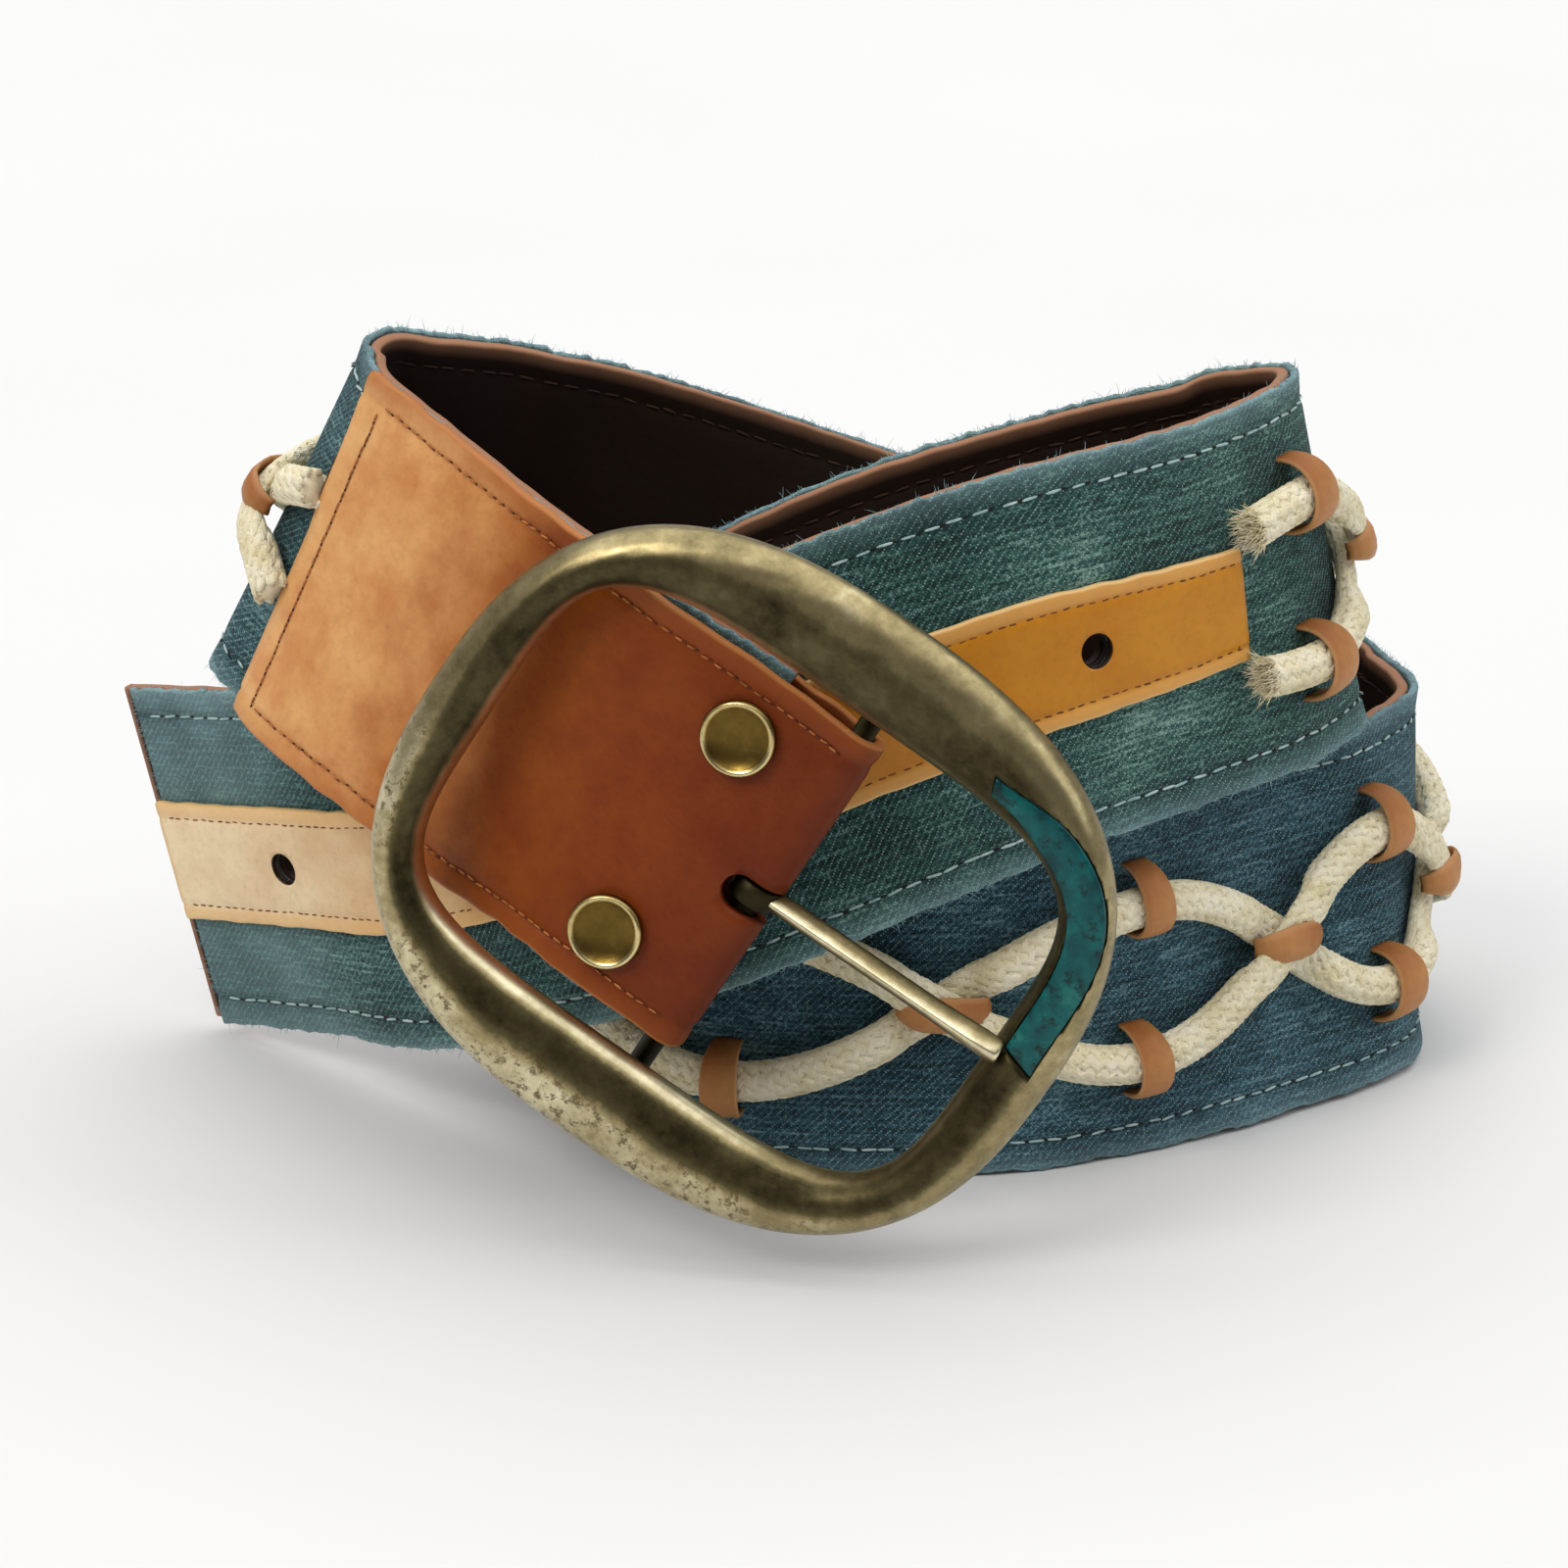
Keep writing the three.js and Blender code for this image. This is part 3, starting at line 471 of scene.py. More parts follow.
def denim_material():
    material, tree = new_material("washed_denim")
    uv, along, across = strap_coordinates(tree)
    knot, weft_over, warp_tone = twill(tree, uv, along, across, 0.42)
    # slubs along the warp and the weft, washed patches, specks and a grain of single fibres
    features = {}
    for name, stretch, scale, detail, roughness in (
        ("slub", (0.3, 2.2, 1), 0.5, 3, 0.6),
        ("weft_slub", (2.4, 0.4, 1), 0.55, 3, 0.6),
        ("patch", (1, 1, 1), 0.035, 3, 0.5),
        ("grain", (1, 1, 1), 1.3, 3, 0.75),
        ("speck", (1, 1, 1), 0.9, 2, 0.6),
    ):
        mapped = add(tree, "ShaderNodeMapping", {"Vector": uv, "Scale": stretch})
        features[name] = add(tree, NOISE, {
            "Vector": mapped, "Scale": scale, "Detail": detail, "Roughness": roughness,
        })
    tone = add(tree, MATH, {0: features["slub"], 1: 0.3}, operation="MULTIPLY")
    tone = add(tree, MATH, {0: features["patch"], 1: 0.28, 2: tone}, operation="MULTIPLY_ADD")
    tone = add(tree, MATH, {0: features["grain"], 1: 0.46, 2: tone}, operation="MULTIPLY_ADD")
    tone = add(tree, MATH, {0: tone, 1: 0.025}, operation="SUBTRACT")
    tone = add(tree, MATH, {0: warp_tone, 1: 0.06, 2: tone}, operation="MULTIPLY_ADD")
    blue = add(tree, RAMP, {"Fac": tone}, stops=[
        (0.42, 0x0E222A), (0.5, 0x1D3F4C), (0.565, 0x3C6474), (0.66, 0x84A8B0),
    ])
    green = add(tree, RAMP, {"Fac": tone}, stops=[
        (0.42, 0x0C211F), (0.5, 0x1A3D3A), (0.565, 0x366059), (0.66, 0x88AC9E),
    ])
    # the dye runs from blue to green along the belt, and its tip is washed out
    place = add(tree, MATH, {0: along, 1: LENGTH}, operation="DIVIDE")
    lot = add(tree, RAMP, {"Fac": place}, stops=[
        (0.0, 0.5), (0.3, 0.35), (0.42, 0.0), (0.58, 0.05), (0.68, 1.0), (0.9, 0.9), (1, 0.6),
    ])
    bleached = add(tree, RAMP, {"Fac": features["patch"]}, stops=[(0.35, 0.5), (0.6, 1.0)])
    tip = add(tree, RAMP, {"Fac": place}, stops=[(0.955, 0.0), (0.975, 0.42)])
    washed = add(tree, MATH, {0: tip, 1: bleached}, operation="MULTIPLY")
    # rubbed pale towards its cut edges
    edge = add(tree, MATH, {0: across}, operation="ABSOLUTE")
    reach = add(tree, MATH, {0: edge, 1: 40}, operation="DIVIDE")
    uneven_reach = add(tree, MATH, {0: features["patch"], 1: 0.05, 2: reach}, operation="MULTIPLY_ADD")
    rubbed = add(tree, RAMP, {"Fac": uneven_reach}, stops=[
        (0.0, 0.0), (0.8, 0.02), (0.88, 0.1), (0.945, 0.26), (0.99, 0.75),
    ])
    # pale weft flecks and slubs, and painted shade darkening the furrow of the stitching
    fleck_share = add(tree, RAMP, {"Fac": features["speck"]}, stops=[(0.42, 0.15), (0.6, 1.0)])
    fleck = add(tree, MATH, {0: weft_over, 1: knot}, operation="MULTIPLY")
    flecked = add(tree, MATH, {0: fleck, 1: fleck_share}, operation="MULTIPLY")
    pale_slub = add(tree, RAMP, {"Fac": features["weft_slub"]}, stops=[(0.6, 0.0), (0.72, 0.35)])
    offset = add(tree, MATH, {0: edge, 1: STITCH_ROW}, operation="SUBTRACT")
    row = add(tree, MATH, {0: offset}, operation="ABSOLUTE")
    near = add(tree, MATH, {0: row, 1: 4}, operation="DIVIDE")
    furrow = add(tree, RAMP, {"Fac": near}, stops=[(0.0, 1.0), (0.2, 0.5), (0.5, 0.0)])
    furrow_shade = add(tree, MATH, {0: furrow, 1: 0.5}, operation="MULTIPLY")
    cloth = blue
    for share, tint in (
        (lot, green), (washed, colour(0x8FB0B2)), (rubbed, colour(0x93B2B8)), (flecked, colour(0x9CB8B8)),
        (pale_slub, colour(0x8FAFAF)), (furrow_shade, colour(0x0F252C)),
    ):
        cloth = add(tree, MIX, {SHARE: share, FIRST: cloth, SECOND: tint}, MIXED, data_type="RGBA")
    cloth = with_hole_walls(tree, along, cloth)
    # the stitches gather the cloth into small puckers, one for every second stitch
    turn = add(tree, MATH, {0: along, 1: math.pi / STITCH_PITCH}, operation="MULTIPLY")
    gather = add(tree, MATH, {0: turn}, operation="SINE")
    gathered = add(tree, MATH, {0: gather, 1: furrow}, operation="MULTIPLY")
    pucker = add(tree, MATH, {0: gathered, 1: 0.9}, operation="MULTIPLY")
    fuzz = add(tree, MATH, {0: features["grain"], 1: 0.9}, operation="MULTIPLY")
    height = add(tree, MATH, {0: knot, 1: 0.6, 2: fuzz}, operation="MULTIPLY_ADD")
    height = add(tree, MATH, {0: features["slub"], 1: 0.6, 2: height}, operation="MULTIPLY_ADD")
    height = add(tree, MATH, {0: height, 1: pucker}, operation="ADD")
    finish_material(tree, {
        "Base Color": cloth, "Roughness": 0.95, "Sheen Weight": 0.08, "Sheen Roughness": 0.5,
        "Specular IOR Level": 0.15,
    }, height, 0.8, 0.3)
    return material


# Vegetable tanned cowhide, waxed: mottled tan with fine pores, darker where it was handled.

def leather_material(
    name, stops, reach, edge_hex, roughness=0.42, wear=0.4, band=None, gloss=0.4, mottling=0.2,
):
    """Stops are the leather's colours along the strap, over the first `reach` millimetres; for the tab, the
    hole strip and the keepers they also carry painted light and shade.
    A band (from, to, hex, share) tints the leather beyond a distance from its middle."""
    material, tree = new_material(name)
    uv, along, across = strap_coordinates(tree)
    mottle = add(tree, NOISE, {"Vector": uv, "Scale": 0.045, "Detail": 5, "Roughness": 0.6})
    fine = add(tree, NOISE, {"Vector": uv, "Scale": 0.5, "Detail": 5, "Roughness": 0.65})
    clouds = add(tree, NOISE, {"Vector": uv, "Scale": 0.07, "Detail": 4, "Roughness": 0.6})
    place = add(tree, MATH, {0: along, 1: reach}, operation="DIVIDE")
    swing = add(tree, MATH, {0: mottle, 1: 0.5}, operation="SUBTRACT")
    shifted = add(tree, MATH, {0: swing, 1: 0.35, 2: place}, operation="MULTIPLY_ADD")
    base = add(tree, RAMP, {"Fac": shifted}, stops=stops)
    tone = add(tree, RAMP, {"Fac": fine}, stops=[(0.3, 0.86), (0.5, 0.98), (0.72, 1.0)])
    cloud = add(tree, RAMP, {"Fac": clouds}, stops=[(0.36, mottling), (0.6, 0.0)])
    multiply = {"data_type": "RGBA", "blend_type": "MULTIPLY"}
    handled = add(tree, MIX, {SHARE: 1.0, FIRST: base, SECOND: colour(0xC8834A)}, MIXED, **multiply)
    plain = add(tree, MIX, {SHARE: 1.0, FIRST: base, SECOND: tone}, MIXED, **multiply)
    toned = add(tree, MIX, {SHARE: cloud, FIRST: plain, SECOND: handled}, MIXED, data_type="RGBA")
    if band:
        low, high, tint, share = band
        away = add(tree, MATH, {0: across}, operation="ABSOLUTE")
        spread = add(tree, "ShaderNodeMapRange", {
            "Value": away, "From Min": low, "From Max": high, "To Min": 0.0, "To Max": share,
        }, interpolation_type="SMOOTHSTEP")
        toned = add(tree, MIX, {SHARE: spread, FIRST: toned, SECOND: colour(tint)}, MIXED, data_type="RGBA")
    rim = add(tree, "ShaderNodeAttribute", {}, "Fac", attribute_name="rim")
    raw = add(tree, MIX, {SHARE: rim, FIRST: toned, SECOND: colour(edge_hex)}, MIXED, data_type="RGBA")
    raw = with_hole_walls(tree, along, raw)
    pore = add(tree, "ShaderNodeTexVoronoi", {"Vector": uv, "Scale": 0.9, "Randomness": 1.0}, "Distance")
    drawn = add(tree, "ShaderNodeMapping", {"Vector": uv, "Scale": (0.12, 2.2, 1)})
    scratch = add(tree, NOISE, {"Vector": drawn, "Scale": 0.4, "Detail": 2, "Roughness": 0.5})
    height = add(tree, MATH, {0: fine, 1: 0.5}, operation="MULTIPLY")
    height = add(tree, MATH, {0: pore, 1: 0.45, 2: height}, operation="MULTIPLY_ADD")
    height = add(tree, MATH, {0: scratch, 1: 0.25, 2: height}, operation="MULTIPLY_ADD")
    shine = add(tree, RAMP, {"Fac": mottle}, stops=[(0.3, roughness + 0.12), (0.7, roughness - 0.06)])
    finish_material(tree, {
        "Base Color": raw, "Roughness": shine, "Specular IOR Level": gloss,
    }, height, wear, 0.25)
    return material


# Zinc alloy cast and plated, with an antique brass finish: olive patina in the low places, pale brass on
# the inner rim and the outer slope, partly rubbed and partly a painted highlight, and fine brown pits where
# the plating lifted.

def antique_brass_material(name, dark, middle, light, bright, smooth):
    """Four colours from the low places to the rubbed places and painted highlights, and the roughness of
    those.
    """
    material, tree = new_material(name)
    place = add(tree, "ShaderNodeTexCoord", {}, "Object")
    # per vertex: real rubbing and painted highlight together
    wear_and_highlight = add(tree, "ShaderNodeAttribute", {}, "Fac", attribute_name="wear_and_highlight")
    pitted = add(tree, "ShaderNodeAttribute", {}, "Fac", attribute_name="pitted")
    cloud = add(tree, NOISE, {"Vector": place, "Scale": 70, "Detail": 5, "Roughness": 0.65})
    fine = add(tree, NOISE, {"Vector": place, "Scale": 420, "Detail": 4, "Roughness": 0.7})
    speckle = add(tree, NOISE, {"Vector": place, "Scale": 480, "Detail": 5, "Roughness": 0.75})
    rub_and_highlight = wear_and_highlight
    for unevenness, share in ((cloud, 0.7), (fine, 0.3)):
        swing = add(tree, MATH, {0: unevenness, 1: 0.5}, operation="SUBTRACT")
        rub_and_highlight = add(tree, MATH, {0: swing, 1: share, 2: rub_and_highlight}, operation="MULTIPLY_ADD")
    base = add(tree, RAMP, {"Fac": rub_and_highlight}, stops=[(0.1, dark), (0.38, middle), (0.62, light), (0.9, bright)])
    spots = add(tree, RAMP, {"Fac": speckle}, stops=[(0.52, 0.0), (0.6, 1.0)])
    groups = add(tree, RAMP, {"Fac": cloud}, stops=[(0.36, 0.0), (0.52, 1.0)])
    pit = add(tree, MATH, {0: spots, 1: groups}, operation="MULTIPLY")
    pit = add(tree, MATH, {0: pit, 1: pitted}, operation="MULTIPLY", use_clamp=True)
    tarnish = add(tree, MATH, {0: pit, 1: 0.8}, operation="MULTIPLY")
    base = add(tree, MIX, {SHARE: tarnish, FIRST: base, SECOND: colour(0x52401F)}, MIXED, data_type="RGBA")
    shine = add(tree, RAMP, {"Fac": rub_and_highlight}, stops=[(0.1, smooth + 0.2), (0.5, smooth + 0.1), (0.9, smooth)])
    height = add(tree, MATH, {0: cloud, 1: 0.5}, operation="MULTIPLY")
    height = add(tree, MATH, {0: pit, 1: -0.5, 2: height}, operation="MULTIPLY_ADD")
    height = add(tree, MATH, {0: fine, 1: 0.2, 2: height}, operation="MULTIPLY_ADD")
    finish_material(tree, {"Base Color": base, "Metallic": 1.0, "Roughness": shine}, height, 0.4, 0.25)
    return material


# Reconstituted turquoise, polished: deep teal with darker veins and pale worn clouds.

def turquoise_material():
    material, tree = new_material("turquoise_stone")
    place = add(tree, "ShaderNodeTexCoord", {}, "Object")
    cloud = add(tree, NOISE, {"Vector": place, "Scale": 130, "Detail": 5, "Roughness": 0.6})
    vein = add(tree, NOISE, {"Vector": place, "Scale": 320, "Detail": 4, "Roughness": 0.7})
    base = add(tree, RAMP, {"Fac": cloud}, stops=[
        (0.34, 0x01262A), (0.48, 0x014447), (0.6, 0x025856), (0.74, 0x2A7468),
    ])
    dark = add(tree, RAMP, {"Fac": vein}, stops=[(0.36, 0.85), (0.46, 0.0)])
    base = add(tree, MIX, {SHARE: dark, FIRST: base, SECOND: colour(0x062422)}, MIXED, data_type="RGBA")
    finish_material(tree, {
        "Base Color": base, "Roughness": 0.35, "Specular IOR Level": 0.25,
    }, vein, 0.25, 0.2)
    return material


# Unbleached cotton braid, soft and matte: cream yarns with darker seed flecks.

def cotton_material():
    material, tree = new_material("cotton_braid")
    _, along, across = strap_coordinates(tree)
    place = add(tree, "ShaderNodeTexCoord", {}, "Object")
    plies = add(tree, MATH, {0: across, 1: 2 * math.pi * 3}, operation="MULTIPLY")
    ply = add(tree, MATH, {0: plies}, operation="SINE")
    slant = add(tree, MATH, {0: across, 1: 9}, operation="MULTIPLY")
    turn = add(tree, MATH, {0: along, 1: 5.2, 2: slant}, operation="MULTIPLY_ADD")
    twist = add(tree, MATH, {0: turn}, operation="SINE")
    cloud = add(tree, NOISE, {"Vector": place, "Scale": 160, "Detail": 4, "Roughness": 0.65})
    seed = add(tree, NOISE, {"Vector": place, "Scale": 1000, "Detail": 2, "Roughness": 0.6})
    base = add(tree, RAMP, {"Fac": cloud}, stops=[(0.32, 0xD8CBA0), (0.5, 0xE9DFBE), (0.7, 0xF4EDD6)])
    fleck = add(tree, RAMP, {"Fac": seed}, stops=[(0.28, 0.6), (0.38, 0.0)])
    base = add(tree, MIX, {SHARE: fleck, FIRST: base, SECOND: colour(0xA88F5E)}, MIXED, data_type="RGBA")
    height = add(tree, MATH, {0: twist, 1: 0.4}, operation="MULTIPLY")
    height = add(tree, MATH, {0: ply, 1: 0.35, 2: height}, operation="MULTIPLY_ADD")
    finish_material(tree, {
        "Base Color": base, "Roughness": 0.95, "Sheen Weight": 0.1, "Specular IOR Level": 0.15,
    }, height, 0.5, 0.2)
    return material


def thread_material(name, light, dark):
    """Polyester sewing thread: matte, its tone a little uneven from stitch to stitch."""
    material, tree = new_material(name)
    place = add(tree, "ShaderNodeTexCoord", {}, "Object")
    tone = add(tree, NOISE, {"Vector": place, "Scale": 220, "Detail": 3, "Roughness": 0.55})
    base = add(tree, RAMP, {"Fac": tone}, stops=[(0.35, dark), (0.65, light)])
    strands = add(tree, NOISE, {"Vector": place, "Scale": 2600, "Detail": 2, "Roughness": 0.55})
    finish_material(tree, {
        "Base Color": base, "Roughness": 0.8, "Specular IOR Level": 0.3,
    }, strands, 0.4, 0.1)
    return material


def floor_material():
    """Pale seamless studio paper."""
    material, tree = new_material("studio_paper")
    place = add(tree, "ShaderNodeTexCoord", {}, "Object")
    cloud = add(tree, NOISE, {"Vector": place, "Scale": 3, "Detail": 2, "Roughness": 0.55})
    tone = add(tree, RAMP, {"Fac": cloud}, stops=[(0.3, 0xDCDCDC), (0.7, 0xDEDEDE)])
    finish_material(tree, {"Base Color": tone, "Roughness": 0.95, "Specular IOR Level": 0.1})
    return material


MATERIAL = {
    "denim": denim_material(),
    "lining": leather_material("dark_lining_leather", [
        (0.0, 0x1E120B), (0.5, 0x24160E), (1.0, 0x1A0F09),
    ], 1200, 0x9C7054, 0.55, gloss=0.2),
    # the tab darkens from its seam end to the fold: partly its own deeper tone near the bar, partly painted
    # shade inside the ring and painted light on its lit end
    "tab": leather_material("waxed_tan_leather", [
        (0.0, 0x6E2C06), (0.22, 0x803808), (0.5, 0x8C460C),
        (0.64, 0xB8743A), (0.8, 0xDAA064), (1.0, 0xE4B074),
    ], 115, 0xB0703C, band=(29.5, 36.0, 0x9A5220, 0.4), wear=0.6, gloss=0.18, mottling=0.45),
    # the strip runs from golden at its sewn end to pale at the tip: partly its own paler leather, partly
    # painted light where the light falls brighter on the left
    "strip": leather_material("golden_tan_leather", [
        (0.0, 0xC8861E), (0.3, 0xBC7814), (0.5, 0xC28A3C), (0.72, 0xDAB684), (0.9, 0xEED8B0),
    ], STRIP_LENGTH, 0xE4BC80, 0.36, band=(9.2, 11.0, 0xE2AE66, 0.5), gloss=0.25),
    # each keeper is lighter over its arch and darker at its ends: painted light on the top and painted
    # shade where it dips into the slits
    "keeper": leather_material("brown_keeper_leather", [
        (0.0, 0x96602E), (0.5, 0xC08A54), (1.0, 0x905A2A),
    ], 30, 0xC09466, 0.5, gloss=0.25, mottling=0.4),
    "brass": antique_brass_material("antique_brass", 0x332E1D, 0x60583C, 0xA0926A, 0xE4DAB6, 0.28),
    "cap": antique_brass_material("polished_brass_cap", 0x4C3C16, 0x705A2A, 0xA89058, 0xE6D6A0, 0.2),
    "turquoise": turquoise_material(),
    "cord": cotton_material(),
    "pale_thread": thread_material("pale_denim_thread", 0xB6CCCA, 0x86A4A6),
    "brown_thread": thread_material("brown_leather_thread", 0xC07C46, 0x8A5028),
    "strip_thread": thread_material("dark_brown_strip_thread", 0x8A4E22, 0x562E12),
    "dark_thread": thread_material("dark_lining_thread", 0x3A2416, 0x22150C),
    # dark capsules in the needle holes and the pricks: painted shade in the holes, not thread
    "needle_hole": thread_material("needle_hole_shade", 0x241409, 0x140B06),
    "leather_prick": thread_material("leather_prick_shade", 0x6A3416, 0x46200C),
    "fibre": thread_material("cotton_fibre", 0xA6C2C6, 0x6F949A),
    "floor": floor_material(),
}


def put_material(piece, name, body="strap"):
    """Gives a piece its material and the body that it rides on."""
    piece.data.materials.clear()
    piece.data.materials.append(MATERIAL[name])
    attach(piece, body)
    return piece


# The strap's layers

def rounded_profile(half, inner, outer, columns, radius):
    """A closed loop of (w, n) round a layer's section, its long edges rounded."""
    quarter = np.linspace(0, math.pi / 2, 4)[1:-1]
    side, high, low = half - radius, outer - radius, inner + radius
    top = [(w, outer) for w in columns]
    right = [(side + radius * math.sin(a), high + radius * math.cos(a)) for a in quarter]
    right_low = [(side + radius * math.cos(a), low - radius * math.sin(a)) for a in quarter]
    back = [(w, inner) for w in columns[::-1]]
    left_low = [(-w, n) for w, n in right_low[::-1]]
    left = [(-w, n) for w, n in right[::-1]]
    return np.array(top + right + right_low + back + left_low + left)


def layer(name, start, end, profile, shape, step=1.6):
    """A strap layer between two distances; shape(s, w, n) gives the final s, w and n. Gives the
    piece, and the distance along and across of each of its points."""
    count = int((end - start) / step) + 1
    s = np.linspace(start, end, count)[:, None]
    w = np.broadcast_to(profile[None, :, 0], (count, len(profile)))
    n = np.broadcast_to(profile[None, :, 1], w.shape)
    s = np.broadcast_to(s, w.shape)
    points = strap_point(*shape(s, w, n))
    piece = swept(name, points, np.stack([s, w], axis=-1))
    face_outwards(piece)
    return piece, s, w


def mirrored(values):
    return sorted([-v for v in values if v > 0] + list(values))


# Places across each layer that carry its points, closer beside its stitching
DENIM_COLUMNS = mirrored([
    0, 3, 6, 9, 11.5, 14, 17, 20, 23, 26, 28.5, 30.2, 31.4, 32, 32.6, 33.8, 35.4, 36.6, 37.3,
])
LINING_COLUMNS = mirrored([0, 5, 10, 15, 20, 25, 29, 31.3, 32, 32.7, 34.5, 36.9])
STRIP_COLUMNS = mirrored([0, 2, 4, 6, 8, 9, 9.4, 9.8, 10.2, 10.6, 11.6, 12.5])


def uneven(s, w, seed, shortest, longest):
    """The waver of an edge: one on the upper side and the next one's on the lower side."""
    return np.where(w > 0, waver(s, seed, shortest, longest), waver(s, seed + 1, shortest, longest))


def furrow_at(w, row, half):
    """1 along a stitch row on either side of the middle, 0 away from it."""
    return np.exp(-((np.abs(w) - row) / half) ** 2)


def denim_shape(s, w, n):
    rim = smooth_step(np.abs(w), HALF_WIDTH - 5, HALF_WIDTH)
    free = smooth_step(s, TAB_SEAM - 2, TAB_SEAM + 12)
    ragged = uneven(s, w, 11, 2.5, 30)
    curl = uneven(s, w, 13, 9, 60)
    outer = n > (DENIM_INNER + DENIM_OUTER) / 2
    lifted = n + rim * free * (0.25 + 0.35 * curl) * np.where(outer, 1, 0.6)
    lifted = lifted - np.where(outer, 0.32 * furrow_at(w, STITCH_ROW, 1.1), 0)
    return s, w + np.sign(w) * rim * 0.45 * ragged, lifted


def lining_shape(s, w, n):
    rim = smooth_step(np.abs(w), 30, LINING_HALF_WIDTH)
    inner = n < (LINING_INNER + LINING_OUTER) / 2
    furrow = np.where(inner, 0.35 * furrow_at(w, STITCH_ROW, 0.9), 0)
    return s, w + np.sign(w) * rim * 0.15 * uneven(s, w, 21, 8, 60), n + furrow


def strip_growth(s):
    """How the strip's width at s compares with its full width: it narrows towards its sewn end."""
    part = np.clip((s - LENGTH + STRIP_LENGTH) / STRIP_WIDENS, 0, 1)
    return (STRIP_END_HALF + (STRIP_HALF_WIDTH - STRIP_END_HALF) * part) / STRIP_HALF_WIDTH


def strip_shape(s, w, n):
    rim = smooth_step(np.abs(w), STRIP_ROW, STRIP_HALF_WIDTH)
    outer = n > (STRIP_INNER + STRIP_OUTER) / 2
    edge = np.sign(w) * rim * 0.25 * uneven(s, w, 31, 6, 50)
    relief = 0.12 * (1 - rim) - 0.3 * furrow_at(w, STRIP_ROW, 0.7)
    return s, w * strip_growth(s) + edge, n + np.where(outer, relief, 0)


def hole_cutters():
    places = [LENGTH - HOLE_FIRST - HOLE_PITCH * k for k in range(HOLE_COUNT)]
    return [
        rod("punch", strap_point(s, 0, PUNCH_INNER), strap_point(s, 0, PUNCH_OUTER), HOLE_RADIUS, 28,
            HOLE_WALL_MARK)
        for s in places
    ]


def build_strap():
    end = LENGTH - TIP_OVERHANG
    profile = rounded_profile(HALF_WIDTH, DENIM_INNER, DENIM_OUTER, DENIM_COLUMNS, 0.6)
    denim, _, _ = layer("denim_cloth", STRAP_START, end, profile, denim_shape)
    cut(denim, hole_cutters())
    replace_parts(put_material(denim, "denim"), "denim_band")

    profile = rounded_profile(LINING_HALF_WIDTH, LINING_INNER, LINING_OUTER, LINING_COLUMNS, 0.7)
    lining, s, w = layer("lining_leather", STRAP_START, LENGTH, profile, lining_shape)
    rim = smooth_step(np.abs(w), LINING_HALF_WIDTH - 1, LINING_HALF_WIDTH - 0.6)
    set_values(lining, "rim", np.maximum(rim, smooth_step(s, LENGTH - 0.4, LENGTH)))
    cut(lining, hole_cutters())
    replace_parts(put_material(lining, "lining"), "leather_lining")

    profile = rounded_profile(STRIP_HALF_WIDTH, STRIP_INNER, STRIP_OUTER, STRIP_COLUMNS, 0.6)
    start = LENGTH - STRIP_LENGTH
    strip, s, w = layer("hole_strip_leather", start, end, profile, strip_shape, 1.2)
    rim = smooth_step(np.abs(w), STRIP_HALF_WIDTH - 0.8, STRIP_HALF_WIDTH - 0.2)
    set_values(strip, "rim", np.maximum(rim, smooth_step(s, end - 0.3, end)))
    strip.data.uv_layers.remove(strip.data.uv_layers["strap"])
    set_uv(strip, np.stack([s - start, w], axis=-1).reshape(-1, 2))
    cut(strip, hole_cutters())
    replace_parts(put_material(strip, "strip"), "hole_strip")


# The buckle tab, folded round the bar

BAR_POINT, BAR_ALONG, BAR_ACROSS, BAR_OUT = [part[0] for part in strap_frame([0.0])]
BAR_POINT = BAR_POINT + BAR_OUT * TAB_CORE


def bar_point(u, v, n):
    """Measured straight from the bar: u away from the strap, v across it, n outwards."""
    u, v, n = [np.asarray(x, float)[..., None] for x in np.broadcast_arrays(u, v, n)]
    return BAR_POINT - BAR_ALONG * u + BAR_ACROSS * v + BAR_OUT * n


def tab_surface(travel, w, depth):
    """A point of the tab: travel from the seam round the bar, w across, depth into the leather."""
    front = TAB_SEAM - travel
    back = travel - TAB_SEAM - TAB_BEND
    angle = np.clip((travel - TAB_SEAM) / TAB_FOLD_RADIUS, 0, math.pi)
    radius = TAB_FOLD_RADIUS + depth
    on_front = strap_point(np.maximum(front, 0), w, TAB_FRONT + depth)
    on_back = strap_point(np.maximum(back, 0), w, TAB_BACK - depth)
    on_bend = bar_point(radius * np.sin(angle), w, radius * np.cos(angle))
    points = np.where((travel < TAB_SEAM)[..., None], on_front, on_bend)
    return np.where((travel > TAB_SEAM + TAB_BEND)[..., None], on_back, points)


TAB_ROW_INSET = 4.7
TAB_ROW = TAB_NEAR_HALF - TAB_ROW_INSET
TAB_BEND = math.pi * TAB_FOLD_RADIUS
TAB_COLUMNS = mirrored([0, 4, 8, 12, 16, 20, 24, 28, 30, 31, 31.6, 32.2, 33.2, 34.4, 35.5])


def tab_growth(s):
    """How much wider the tab's half is at s than at the fold."""
    return (TAB_FAR_HALF - TAB_NEAR_HALF) * smooth_step(s, *TAB_FLARE)


def slot_cutter():
    """A straight slot with round ends, open past the fold."""
    angle = np.linspace(-math.pi / 2, math.pi / 2, 17)
    middle = SLOT_REACH - SLOT_HALF_WIDTH
    end = [(-middle - SLOT_HALF_WIDTH * math.cos(a), SLOT_HALF_WIDTH * math.sin(a)) for a in angle]
    past_fold = 10
    outline = [(past_fold, -SLOT_HALF_WIDTH)] + end + [(past_fold, SLOT_HALF_WIDTH)]
    u, v = np.array(outline).T
    v = v + SLOT_SHIFT
    points = np.stack([bar_point(u, v, -SLOT_CUT), bar_point(u, v, SLOT_CUT)])
    piece = swept("slot_cutter", points)
    face_outwards(piece)
    return piece


